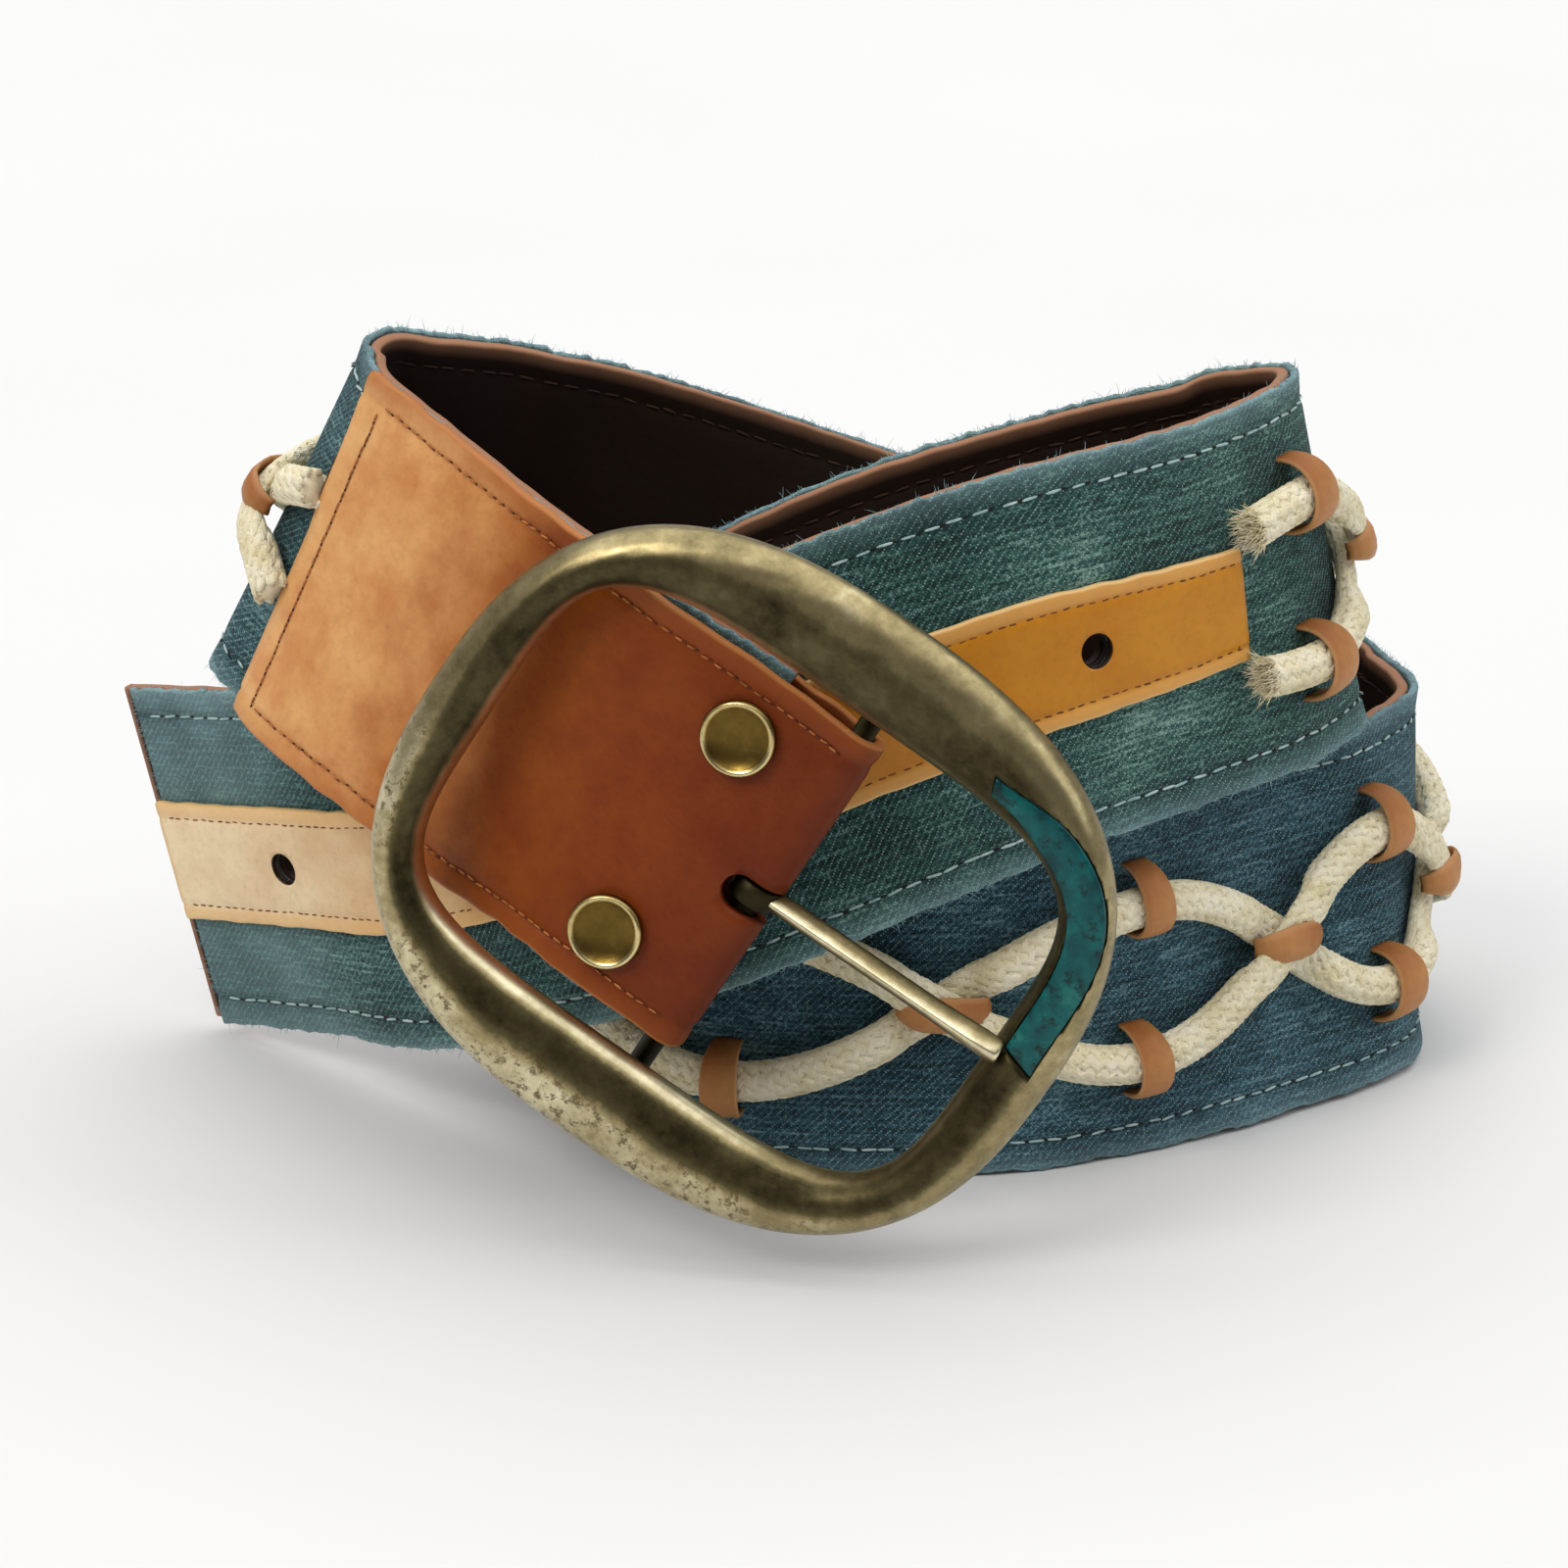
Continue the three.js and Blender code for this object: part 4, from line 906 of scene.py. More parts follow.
def build_tab():
    travel_end = TAB_SEAM + TAB_BEND + TAB_FLAP_END
    front = np.arange(0, TAB_SEAM - 6, 1.5)
    fold = np.arange(TAB_SEAM - 6, TAB_SEAM + 14, 0.5)
    flap = np.arange(TAB_SEAM + 14, travel_end, 1.5)
    travel = np.concatenate([front, fold, flap, [travel_end]])
    profile = rounded_profile(TAB_NEAR_HALF, 0.0, TAB_LEATHER, TAB_COLUMNS, 0.8)
    t = np.broadcast_to(travel[:, None], (len(travel), len(profile)))
    w = np.broadcast_to(profile[None, :, 0], t.shape)
    depth = np.broadcast_to(profile[None, :, 1], t.shape)
    outer = depth > 1.9
    # how far a point lies from the nearest of the three stitch rows
    end_row = np.abs(t - TAB_ROW_INSET) + 4 * smooth_step(np.abs(w), TAB_ROW - 1, TAB_ROW + 2)
    row = np.minimum(np.abs(np.abs(w) - TAB_ROW), end_row)
    furrow = np.exp(-(row / 0.75) ** 2)
    plump = 0.35 * smooth_step(row, 0.8, 6) * smooth_step(t, 0, 10) * smooth_step(TAB_SEAM - t, 0, 12)
    ragged = uneven(t, w, 41, 8, 70)
    rim = smooth_step(np.abs(w), 30, 36)
    place = np.where(t < TAB_SEAM, TAB_SEAM - t, np.maximum(t - TAB_SEAM - TAB_BEND, 0))
    shaped_w = w + np.sign(w) * (0.3 * rim * ragged + tab_growth(place) * smooth_step(np.abs(w), 0, 30))
    seam_bow = 0.8 * waver(w + 60, 43, 20, 70) * smooth_step(6 - t, 0, 6)
    shaped_depth = depth + np.where(outer, plump - 0.4 * furrow, 0)
    points = tab_surface(t + seam_bow, shaped_w, shaped_depth)
    tab = swept("tab_leather", points, np.stack([TAB_SEAM - t, w], axis=-1))
    set_values(tab, "rim", smooth_step(np.abs(w), 35.4, 36.1))
    face_outwards(tab)
    cut(tab, [slot_cutter()])
    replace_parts(put_material(tab, "tab"), "buckle_tab")


# The buckle

def turned_about(v, axis, degrees):
    c, s = math.cos(math.radians(degrees)), math.sin(math.radians(degrees))
    return v * c + np.cross(axis, v) * s + axis * axis.dot(v) * (1 - c)


RING_ALONG = turned_about(-BAR_ALONG, BAR_ACROSS, RING_SWING)
RING_OUT = turned_about(BAR_OUT, BAR_ACROSS, RING_SWING)


def ring_point(u, v, n):
    u, v, n = [np.asarray(x, float)[..., None] for x in np.broadcast_arrays(u, v, n)]
    return BAR_POINT + RING_ALONG * u + BAR_ACROSS * v + RING_OUT * n


def edge_point(angle, edge):
    """One of the ring's two edges: a rounded rectangle as a superellipse."""
    half_length, half_height, roundness, offset = edge
    power = 2 / roundness
    c, s = np.cos(angle), np.sin(angle)
    u = offset + half_length * np.sign(c) * np.abs(c) ** power
    return u, half_height * np.sign(s) * np.abs(s) ** power


def even_angles(count, start=0.0, end=2 * math.pi, closed=True):
    """Angles that lie evenly along the ring's edges."""
    fine = np.linspace(start, end, 8001)
    steps = 0
    for edge in (RING_OUTLINE, RING_HOLE):
        u, v = edge_point(fine, edge)
        steps = steps + np.hypot(np.diff(u), np.diff(v))
    run = np.concatenate([[0], np.cumsum(steps)])
    wanted = np.linspace(0, run[-1], count + 1 if closed else count)
    found = np.interp(wanted, run, fine)
    return found[:-1] if closed else found


def across_band(angle, part):
    """Between the hole's edge at part 0 and the outer edge at part 1."""
    ou, ov = edge_point(angle, RING_OUTLINE)
    iu, iv = edge_point(angle, RING_HOLE)
    return iu + (ou - iu) * part, iv + (ov - iv) * part


RING_SECTION = [
    # across, out
    (0.03, 0), (0.14, 0), (0.2, 0.5), (0.8, 0.5), (0.86, 0), (0.97, 0), (1, 0.16), (0.97, 0.48),
    (0.84, 0.8), (0.64, 0.97), (0.42, 1), (0.2, 0.84), (0.05, 0.5), (0, 0.18),
]


def smooth_section(points, per_span):
    """A closed Catmull-Rom loop through the section's points."""
    p = np.array(points, float)
    out = []
    for k in range(len(p)):
        p0, p1, p2, p3 = p[k - 1], p[k], p[(k + 1) % len(p)], p[(k + 2) % len(p)]
        for t in np.arange(per_span) / per_span:
            out.append(0.5 * (
                2 * p1 + (p2 - p0) * t + (2 * p0 - 5 * p1 + 4 * p2 - p3) * t ** 2
                + (3 * p1 - p0 - 3 * p2 + p3) * t ** 3
            ))
    return np.array(out)


def build_ring():
    angles = even_angles(300)[:, None]
    section = smooth_section(RING_SECTION, 4)
    part, out = section[None, :, 0], section[None, :, 1]
    u, v = across_band(angles, part)
    run = np.broadcast_to(np.arange(len(angles))[:, None] * 1.3, u.shape)
    dent = 0.08 * waver(run + 40 * part, 51, 9, 40) * np.clip(out * 2, 0, 1)
    points = ring_point(u, v, RING_BACK + RING_THICKNESS * out + dent)
    uv = np.stack([run, np.broadcast_to(part * 15, u.shape)], axis=-1)
    ring = swept("buckle_ring", points, uv, closed_path=True)
    part = np.broadcast_to(part, u.shape)
    # pale on the inner rim and the outer slope: partly rubbed brass, partly a painted highlight where the
    # overhead light reflects, strongest on the lower-left inner rim
    low = smooth_step(-v - 0.35 * u, 10, 50)
    inner_rim = 1 - smooth_step(part, 0.06, 0.17)
    outer_slope = smooth_step(part, 0.5 - 0.14 * low, 0.72 - 0.1 * low)
    left = smooth_step(-u, 0, 40)
    wear_and_highlight = 0.2 + (0.36 + 0.3 * np.maximum(low, left)) * inner_rim + (0.36 + 0.16 * low) * outer_slope
    set_values(ring, "wear_and_highlight", wear_and_highlight)
    set_values(ring, "pitted", low * smooth_step(part, 0.25, 0.6))
    face_outwards(ring)
    bar = rod("buckle_bar", ring_point(0, -BAR_END, 0), ring_point(0, BAR_END, 0), BAR_RADIUS, 20)
    lugs = [
        rod("buckle_lug", ring_point(0, w, -BAR_RADIUS), ring_point(0, w, LUG_HEAD), LUG_RADIUS, 20)
        for w in (-BAR_END, BAR_END)
    ]
    cut(ring, [inlay_band("inlay_bed", 0.35, RING_CROWN - INLAY_DEPTH, RING_CROWN + 5)])
    whole = joined("buckle_ring", [ring, bar] + lugs)
    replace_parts(put_material(whole, "brass", "buckle"), "buckle_frame")


def inlay_band(name, grow, floor, top, domed=False):
    """The inlay at the ring's right end: it keeps its width and narrows to a blunt end at the top."""
    start, end = math.radians(INLAY_FROM - grow), math.radians(INLAY_TO + grow)
    angles = even_angles(80, start, end, closed=False)[:, None]
    ou, ov = edge_point(angles, RING_OUTLINE)
    iu, iv = edge_point(angles, RING_HOLE)
    width = np.hypot(ou - iu, ov - iv)
    taper = smooth_step((angles - start) / (end - start), INLAY_TAPER, 1)
    half = (INLAY_WIDTH + (INLAY_POINT - INLAY_WIDTH) * taper) / 2 + grow
    across = np.linspace(-1, 1, 9)[None, :]
    part = (INLAY_INSET + INLAY_WIDTH / 2 + half * across) / width
    u, v = across_band(angles, part)
    crown = -0.35 * across ** 2 if domed else 0 * across
    upper = ring_point(u, v, top + np.broadcast_to(crown, u.shape))
    lower = ring_point(u, v, np.full(u.shape, float(floor)))
    points = np.concatenate([upper, lower[:, ::-1]], axis=1)
    piece = swept(name, points)
    face_outwards(piece)
    return piece


def build_inlay():
    stone = inlay_band("inlay_stone", 0.15, RING_CROWN - INLAY_DEPTH + 0.3, RING_CROWN + 0.1, domed=True)
    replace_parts(put_material(stone, "turquoise", "buckle"), "turquoise_inlay")


def prong_point(reach, aside, n):
    """A point of the shank, which leaves the bar a little askew."""
    skew = math.radians(PRONG_SKEW)
    u = reach * math.cos(skew) - aside * math.sin(skew)
    v = reach * math.sin(skew) + aside * math.cos(skew)
    return ring_point(u, PRONG_SHIFT + v, n)


# Section of the shank: a flat back and two slopes that meet in a ridge
SHANK_SECTION = [
    (-0.7, -1), (0.7, -1), (1, -0.5), (0.92, -0.1), (0.22, 0.95), (0, 1.02), (-0.22, 0.95),
    (-0.92, -0.1), (-1, -0.5),
]


def build_shank():
    part = np.concatenate([
        [0.03, 0.06], np.linspace(0.1, 0.7, 16), np.linspace(0.72, 0.96, 12), [0.985, 1.0],
    ])
    half = PRONG_HALF + (PRONG_TIP_HALF - PRONG_HALF) * smooth_step(part, 0.7, 0.98)
    half[-1] *= 0.9
    thick = 2.2 - 0.5 * smooth_step(part, 0.88, 1)
    thick[-1] *= 0.8
    loop = np.array(SHANK_SECTION)
    reach = PRONG_LENGTH * part[:, None] + 0 * loop[None, :, 0]
    aside = half[:, None] * loop[None, :, 0]
    n = PRONG_RISE * part[:, None] + thick[:, None] * loop[None, :, 1]
    shank = swept("prong_shank", prong_point(reach, aside, n))
    face_outwards(shank)
    # the ridge is painted palest: a painted highlight along its crest
    ridge = np.where(loop[:, 1] > 0.9, 0.85, np.where(loop[:, 1] < -0.4, 0.6, 0.4))
    set_values(shank, "wear_and_highlight", np.tile(ridge, len(part)))
    return shank


def build_eye():
    sides, soft = 40, 0.4
    angle = np.linspace(0, 2 * math.pi, sides, endpoint=False)[:, None]
    side, outer = PRONG_EYE_WIDTH / 2, PRONG_EYE
    rim = np.array([
        (PRONG_BORE, -side), (PRONG_BORE, side), (outer - soft, side),
        (outer, side - soft), (outer, soft - side), (outer - soft, -side),
    ])
    radius = rim[None, :, 0]
    aside = PRONG_SHIFT + np.broadcast_to(rim[None, :, 1], (sides, len(rim)))
    points = ring_point(radius * np.cos(angle), aside, radius * np.sin(angle))
    eye = swept("prong_eye", points, closed_path=True)
    face_outwards(eye)
    set_values(eye, "wear_and_highlight", np.full(len(eye.data.vertices), 0.05))
    return eye


def build_prong():
    pieces = [build_shank(), build_eye()]
    for piece in pieces:
        set_values(piece, "pitted", np.full(len(piece.data.vertices), 0.1))
    prong = joined("prong_shank", pieces)
    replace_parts(put_material(prong, "brass", "prong"), "prong")


# Snap caps: dished discs with a rolled rim

CAP_PROFILE = [
    # radius as a share of the cap's, height in millimetres
    (0.0, 1.2), (0.2, 1.22), (0.38, 1.32), (0.55, 1.5), (0.7, 1.78), (0.8, 2.12), (0.86, 2.44),
    (0.9, 2.55), (0.94, 2.5), (0.985, 2.1), (1.0, 1.4), (0.97, 0.6), (0.9, 0.0),
]


def build_cap(name, side):
    w = CAP_SHIFT + side * CAP_SPACING / 2
    seat = strap_point(CAP_ALONG, w, TAB_FRONT + TAB_LEATHER + 0.3)
    axis = unit(strap_point(CAP_ALONG, w, 20) - seat)
    along = unit(np.cross(axis, [0, 0, 1.0]))
    other = np.cross(axis, along)
    sides = 48
    angle = np.linspace(0, 2 * math.pi, sides, endpoint=False)[None, :, None]
    (_, top_height), *rows = CAP_PROFILE
    radius, height = np.array(rows).T[:, :, None, None]
    turn = np.cos(angle) * along + np.sin(angle) * other
    rings = seat + radius * CAP_RADIUS * turn + height * axis
    index = np.arange(len(rows) * sides).reshape(len(rows), sides)
    vertices = np.vstack([rings.reshape(-1, 3), [seat + top_height * axis]])
    a, b = index[:-1], index[1:]
    quads = np.stack([a, np.roll(a, -1, 1), np.roll(b, -1, 1), b], axis=-1).reshape(-1, 4).tolist()
    first = index[0]
    fan = np.stack([np.roll(first, -1), first, np.full(sides, len(vertices) - 1)], axis=-1).tolist()
    cap = new_object(name + "_dome", vertices, quads + fan + [index[-1].tolist()])
    face_outwards(cap)
    rise = np.append(np.repeat(height, sides), top_height)
    set_values(cap, "wear_and_highlight", 0.3 + 0.45 * (rise > 2.3))
    set_values(cap, "pitted", np.full(len(vertices), 0.1))
    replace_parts(put_material(cap, "cap"), name)


# Lacing: two braided cords and their leather keepers

def lace_stations():
    """Distances of every crossing (even places) and widest place (odd places)."""
    places = [LACE_FIRST_CROSSING]
    for to, halves in LACE_SPANS:
        start = places[-1]
        places += [start + (to - start) * k / halves for k in range(1, halves + 1)]
    return np.array(places)


LACE_PLACES = lace_stations()
LACE_START = TAB_SEAM + 1
LACE_END = LENGTH - STRIP_LENGTH - 1


def lace_phase(s):
    """The number of half waves before s; beyond both ends it runs on at the length of a half wave."""
    before, after = 36, 60
    count = len(LACE_PLACES)
    phase = np.interp(s, LACE_PLACES, np.arange(count))
    phase = np.where(s < LACE_PLACES[0], (s - LACE_PLACES[0]) / before, phase)
    return np.where(s > LACE_PLACES[-1], count - 1 + (s - LACE_PLACES[-1]) / after, phase)


def lace_squeeze(s):
    """1 where the cords lie over each other, 0 away from a crossing."""
    crossings = LACE_PLACES[::2]
    gap = np.abs(np.asarray(s)[..., None] - crossings).min(axis=-1)
    return 1 - smooth_step(gap, LACE_FLAT, LACE_FLAT + LACE_RISE)


def lace_course(s, strand):
    """How far across and out the cord's middle lies, and its half width and half height."""
    spread = LACE_SPREAD * np.sin(lace_phase(s) * math.pi / 2)
    squeeze = lace_squeeze(s)
    half_height = LACE_RADIUS * 0.9 + (LACE_SQUEEZED - LACE_RADIUS * 0.9) * squeeze
    half_width = LACE_RADIUS * (1 + 0.02 * squeeze)
    stack = (2 * LACE_SQUEEZED + 0.3) if strand > 0 else 0
    return strand * spread, LACE_SEAT + half_height + stack * squeeze, half_width, half_height


YARNS = 8
BRAID_PITCH = 24.0
YARN_HALF_WIDTH, YARN_HALF_HEIGHT = 1.22, 0.6


def build_cord(name, strand, node):
    """Cotton braid: eight yarns wound each way, passing over and under each other."""
    s = np.arange(LACE_START, LACE_END, 0.8)
    across, out, half_width, half_height = lace_course(s, strand)
    outward = strap_directions(s)[3]
    middle = strap_point(s, across, out)
    tangent = unit(np.gradient(middle, axis=0))
    side = unit(np.cross(tangent, outward))
    top = unit(np.cross(side, tangent))
    half_width, half_height = half_width[:, None], half_height[:, None]
    run = np.concatenate([[0], np.cumsum(np.linalg.norm(np.diff(middle, axis=0), axis=1))])
    phi = 2 * math.pi * run / BRAID_PITCH
    corner = np.linspace(0, 2 * math.pi, 5, endpoint=False)
    pieces = []
    for hand in (-1, 1):
        inner = 0.86 * (1 + 0.055 * hand * np.cos(YARNS * phi))[:, None]
        for k in range(YARNS):
            theta = (hand * phi + 2 * math.pi * (k + 0.5 * (hand > 0)) / YARNS)[:, None]
            aside, above = side * np.cos(theta), top * np.sin(theta)
            centre = middle + inner * (half_width * aside + half_height * above)
            radial = unit(aside / half_width + above / half_height)
            wide = unit(np.cross(unit(np.gradient(centre, axis=0)), radial))
            ring = centre[:, None] + wide[:, None] * (YARN_HALF_WIDTH * np.cos(corner))[None, :, None]
            ring = ring + radial[:, None] * (YARN_HALF_HEIGHT * np.sin(corner))[None, :, None]
            uv = np.stack(np.broadcast_arrays(run[:, None], np.cos(corner)), axis=-1)
            pieces.append(swept("yarn", ring, uv))
    angle = np.linspace(0, 2 * math.pi, 10, endpoint=False)[None, :, None]
    aside = (half_width * side)[::4, None] * np.cos(angle)
    above = (half_height * top)[::4, None] * np.sin(angle)
    pieces.append(swept("core", middle[::4, None] + 0.82 * (aside + above)))
    cord = joined(name, pieces)
    face_outwards(cord)
    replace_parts(put_material(cord, "cord"), node)


def keeper_mesh(name, points, uv, rim, node):
    """A leather strip through rows of points, with its raw cut edges marked by rim."""
    piece = swept(name, points, uv)
    set_values(piece, "rim", rim)
    face_outwards(piece)
    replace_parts(put_material(piece, "keeper"), node)


def strip_section(half, thick):
    """A flat strip's section of (sideways, outwards), its edges softened."""
    soft = 0.35
    return np.array([
        (-half, soft), (-half + soft, 0), (0, 0), (half - soft, 0), (half, soft), (half, thick - soft),
        (half - soft, thick), (half / 2, thick + 0.1), (0, thick + 0.15), (-half / 2, thick + 0.1),
        (-half + soft, thick), (-half, thick - soft),
    ])


def build_loop_keeper(s, middle, node):
    """A strip that comes out of a slit, over the cord and back into the cloth."""
    rng = np.random.RandomState(int(s * 10))
    foot = 1.2
    height = LACE_SEAT + 2 * 0.9 * LACE_RADIUS + 0.5 - foot
    section = strip_section(3.25, 1.25)
    sideways, thick = section[None, :, 0], section[None, :, 1]
    angle = np.linspace(0, math.pi, 22)[:, None]
    turn = np.cos(angle)
    outer_leg = np.sign(middle) * 1.1 * (turn * np.sign(middle) > 0) * np.abs(turn)
    w = middle + (6.3 + thick * 0.8) * turn + outer_leg
    n = foot + (height + thick) * np.sin(angle) ** 0.8
    skew = rng.uniform(-0.9, 0.9) * turn
    pinch = 1 - 0.12 * np.abs(turn) ** 3
    points = strap_point(s + sideways * pinch + skew, w, n)
    uv = np.stack(np.broadcast_arrays(angle * 8, sideways), axis=-1)
    rim = np.broadcast_to((np.abs(sideways) > 3.0) * 0.6, points.shape[:2])
    keeper_mesh(f"loop_{node}", points, uv, rim, node)


SADDLE = [
    # along, under, half width across
    (-8.0, 5.6, 1.6), (-7.2, 7.6, 2.2), (-6.0, 9.0, 2.9), (-4.0, 9.9, 3.4), (0, 10.2, 3.7),
    (4.0, 9.9, 3.5), (6.0, 9.0, 3.0), (7.2, 7.6, 2.3), (8.0, 5.6, 1.7),
]


def build_saddle_keeper(number, s, node):
    """A strip along the belt over the crossing, its ends tucked down between the cords."""
    rows = np.array(SADDLE, float)
    place = np.linspace(0, len(rows) - 1, 25)
    along, under, half = [np.interp(place, np.arange(len(rows)), rows[:, k]) for k in range(3)]
    section = strip_section(1.0, 1.2)
    sideways, thick = section[None, :, 0], section[None, :, 1]
    along = along[:, None]
    w = half[:, None] * sideways
    n = under[:, None] + thick - 0.5 * sideways ** 2
    push = np.sign(along) * thick * smooth_step(np.abs(along), 4, 8) * 0.8
    points = strap_point(s + along + push, w, n)
    uv = np.stack([np.broadcast_to(along + 12, w.shape), w], axis=-1)
    rim = np.broadcast_to((np.abs(sideways) > 0.95) * 0.5, w.shape)
    keeper_mesh(f"saddle_keeper_{number}", points, uv, rim, node)


def build_lacing():
    build_cord("cord_upper_braid", 1, "lace_cord_upper")
    build_cord("cord_lower_braid", -1, "lace_cord_lower")
    for number, s in enumerate(LACE_PLACES[::2], 1):
        build_saddle_keeper(number, s, f"keeper_crossing_{number}")
    for number, s in enumerate(LACE_PLACES[1::2], 1):
        build_loop_keeper(s, LACE_SPREAD, f"keeper_upper_{number}")
        build_loop_keeper(s, -LACE_SPREAD, f"keeper_lower_{number}")


# Stitches: one small capsule repeated on points that carry the directions along and out

def capsule_mesh(name, length, width, height):
    rows = [(-0.5, 0.35), (-0.38, 0.85), (0, 1.0), (0.38, 0.85), (0.5, 0.35)]
    angle = np.linspace(0, 2 * math.pi, 6, endpoint=False)
    points = np.array([
        [(length * x, width / 2 * r * math.cos(a), height / 2 * r * math.sin(a)) for a in angle]
        for x, r in rows
    ])
    piece = swept(name, points)
    face_outwards(piece)
    return piece


def repeat_tree(name, material):
    """Geometry Nodes: an object put on every point, turned to its along and outward directions."""
    tree = bpy.data.node_groups.new(name, "GeometryNodeTree")
    for label, side, kind in (
        ("Geometry", "INPUT", "Geometry"), ("Piece", "INPUT", "Object"), ("Size spread", "INPUT", "Float"),
        ("Seed", "INPUT", "Int"), ("Geometry", "OUTPUT", "Geometry"),
    ):
        tree.interface.new_socket(label, in_out=side, socket_type="NodeSocket" + kind)
    given = add(tree, "NodeGroupInput", output=None).outputs
    along, outward = [
        add(tree, "GeometryNodeInputNamedAttribute", {"Name": label}, data_type="FLOAT_VECTOR")
        for label in ("along", "outward")
    ]
    facing = add(tree, "FunctionNodeAlignRotationToVector", {"Vector": outward}, axis="Z")
    turned = add(tree, "FunctionNodeAlignRotationToVector", {
        "Rotation": facing, "Vector": along,
    }, axis="X", pivot_axis="Z")
    piece = add(tree, "GeometryNodeObjectInfo", {"Object": given["Piece"]}, "Geometry")
    low = add(tree, MATH, {0: 1.0, 1: given["Size spread"]}, operation="SUBTRACT")
    high = add(tree, MATH, {0: 1.0, 1: given["Size spread"]}, operation="ADD")
    size = add(tree, "FunctionNodeRandomValue", {
        "Min": low, "Max": high, "Seed": given["Seed"],
    }, "Value", data_type="FLOAT")
    placed = add(tree, "GeometryNodeInstanceOnPoints", {
        "Points": given["Geometry"], "Instance": piece, "Rotation": turned, "Scale": size,
    })
    real = add(tree, "GeometryNodeRealizeInstances", {"Geometry": placed})
    painted = add(tree, "GeometryNodeSetMaterial", {"Geometry": real, "Material": material})
    add(tree, "NodeGroupOutput", {"Geometry": painted}, None)
    return tree


SIZE_SPREAD = 0.08


def repeated(name, piece, points, along, outward, material, seed):
    """A mesh of copies of a small piece, one on each point."""
    rows = new_object(name, points, [])
    for key, value in (("along", along), ("outward", outward)):
        attribute = rows.data.attributes.new(key, "FLOAT_VECTOR", "POINT")
        attribute.data.foreach_set("vector", np.asarray(value, float).ravel())
    tree = repeat_tree(name + "_tree", MATERIAL[material])
    modifier = rows.modifiers.new("repeat", "NODES")
    modifier.node_group = tree
    sockets = {item.name: item.identifier for item in tree.interface.items_tree if item.in_out == "INPUT"}
    modifier[sockets["Piece"]] = piece
    modifier[sockets["Size spread"]] = SIZE_SPREAD
    modifier[sockets["Seed"]] = seed
    baked(rows)
    bpy.data.objects.remove(piece)
    rows.data.polygons.foreach_set("use_smooth", [True] * len(rows.data.polygons))
    return put_material(rows, material)


def row_on_strap(start, end, pitch, w, n, seed, growth=None):
    """Points of a stitch row along the strap, each a little off its place, with directions."""
    rng = np.random.RandomState(seed)
    s = np.arange(start, end, pitch)
    s = s + rng.uniform(-0.15, 0.15, len(s)) * pitch
    across = w + rng.uniform(-0.12, 0.12, len(s))
    if growth:
        across = across + math.copysign(1, w) * growth(s)
    points = strap_point(s, across, n)
    ahead = strap_point(s + 0.5, across + rng.uniform(-0.06, 0.06, len(s)), n)
    outward = strap_point(s, across, n + 1) - points
    return points, unit(ahead - points), unit(outward)


def stacked(rows):
    return [np.vstack(parts) for parts in zip(*rows)]


def needle_holes(row, pitch):
    """Points half a stitch behind those of a row, a little deeper."""
    points, along, outward = row
    return points - along * pitch / 2 - outward * 0.12, along, outward


def build_stitches():
    end = LENGTH - TIP_OVERHANG - 2
    outside = stacked([
        row_on_strap(TAB_SEAM + 2, end, STITCH_PITCH, STITCH_ROW, 1.45, 61),
        row_on_strap(TAB_SEAM + 2, end, STITCH_PITCH, -STITCH_ROW, 1.45, 62),
    ])
    # a dark capsule in each needle hole stands for the shade inside it
    holes = needle_holes(outside, STITCH_PITCH)
    repeated("denim_topstitch", capsule_mesh("stitch", 3.1, 0.6, 0.5), *outside, "pale_thread", seed=3)
    repeated("denim_needle_hole", capsule_mesh("hole", 1.1, 0.55, 0.3), *holes, "needle_hole", seed=7)
    inside = stacked([
        row_on_strap(TAB_FLAP_END + 2, end, STITCH_PITCH, STITCH_ROW, -2.3, 63),
        row_on_strap(TAB_FLAP_END + 2, end, STITCH_PITCH, -STITCH_ROW, -2.3, 64),
    ])
    repeated("lining_stitch", capsule_mesh("stitch", 3.0, 0.55, 0.4), *inside, "dark_thread", seed=4)
    strip_start = LENGTH - STRIP_LENGTH
    strip = stacked([
        row_on_strap(strip_start + 2.5, end + 1, SMALL_PITCH, STRIP_ROW, 3.4, 65, strip_row_shift),
        row_on_strap(strip_start + 2.5, end + 1, SMALL_PITCH, -STRIP_ROW, 3.4, 66, strip_row_shift),
        strip_end_row(strip_start + 2.5, 67),
    ])
    holes = needle_holes(strip, SMALL_PITCH)
    repeated("strip_stitch", capsule_mesh("stitch", 1.6, 0.5, 0.42), *strip, "strip_thread", seed=5)
    repeated("strip_needle_hole", capsule_mesh("hole", 0.9, 0.5, 0.3), *holes, "leather_prick", seed=8)
    top = TAB_FRONT + TAB_LEATHER
    tab = stacked([
        row_on_strap(3, TAB_SEAM - TAB_ROW_INSET, SMALL_PITCH, TAB_ROW, top - 0.05, 68, tab_growth),
        row_on_strap(3, TAB_SEAM - TAB_ROW_INSET, SMALL_PITCH, -TAB_ROW, top - 0.05, 69, tab_growth),
        tab_end_row(TAB_SEAM - TAB_ROW_INSET, 70),
    ])
    holes = needle_holes(tab, SMALL_PITCH)
    repeated("tab_stitch", capsule_mesh("stitch", 1.6, 0.45, 0.45), *tab, "brown_thread", seed=6)
    repeated("tab_needle_hole", capsule_mesh("hole", 0.8, 0.5, 0.3), *holes, "leather_prick", seed=9)


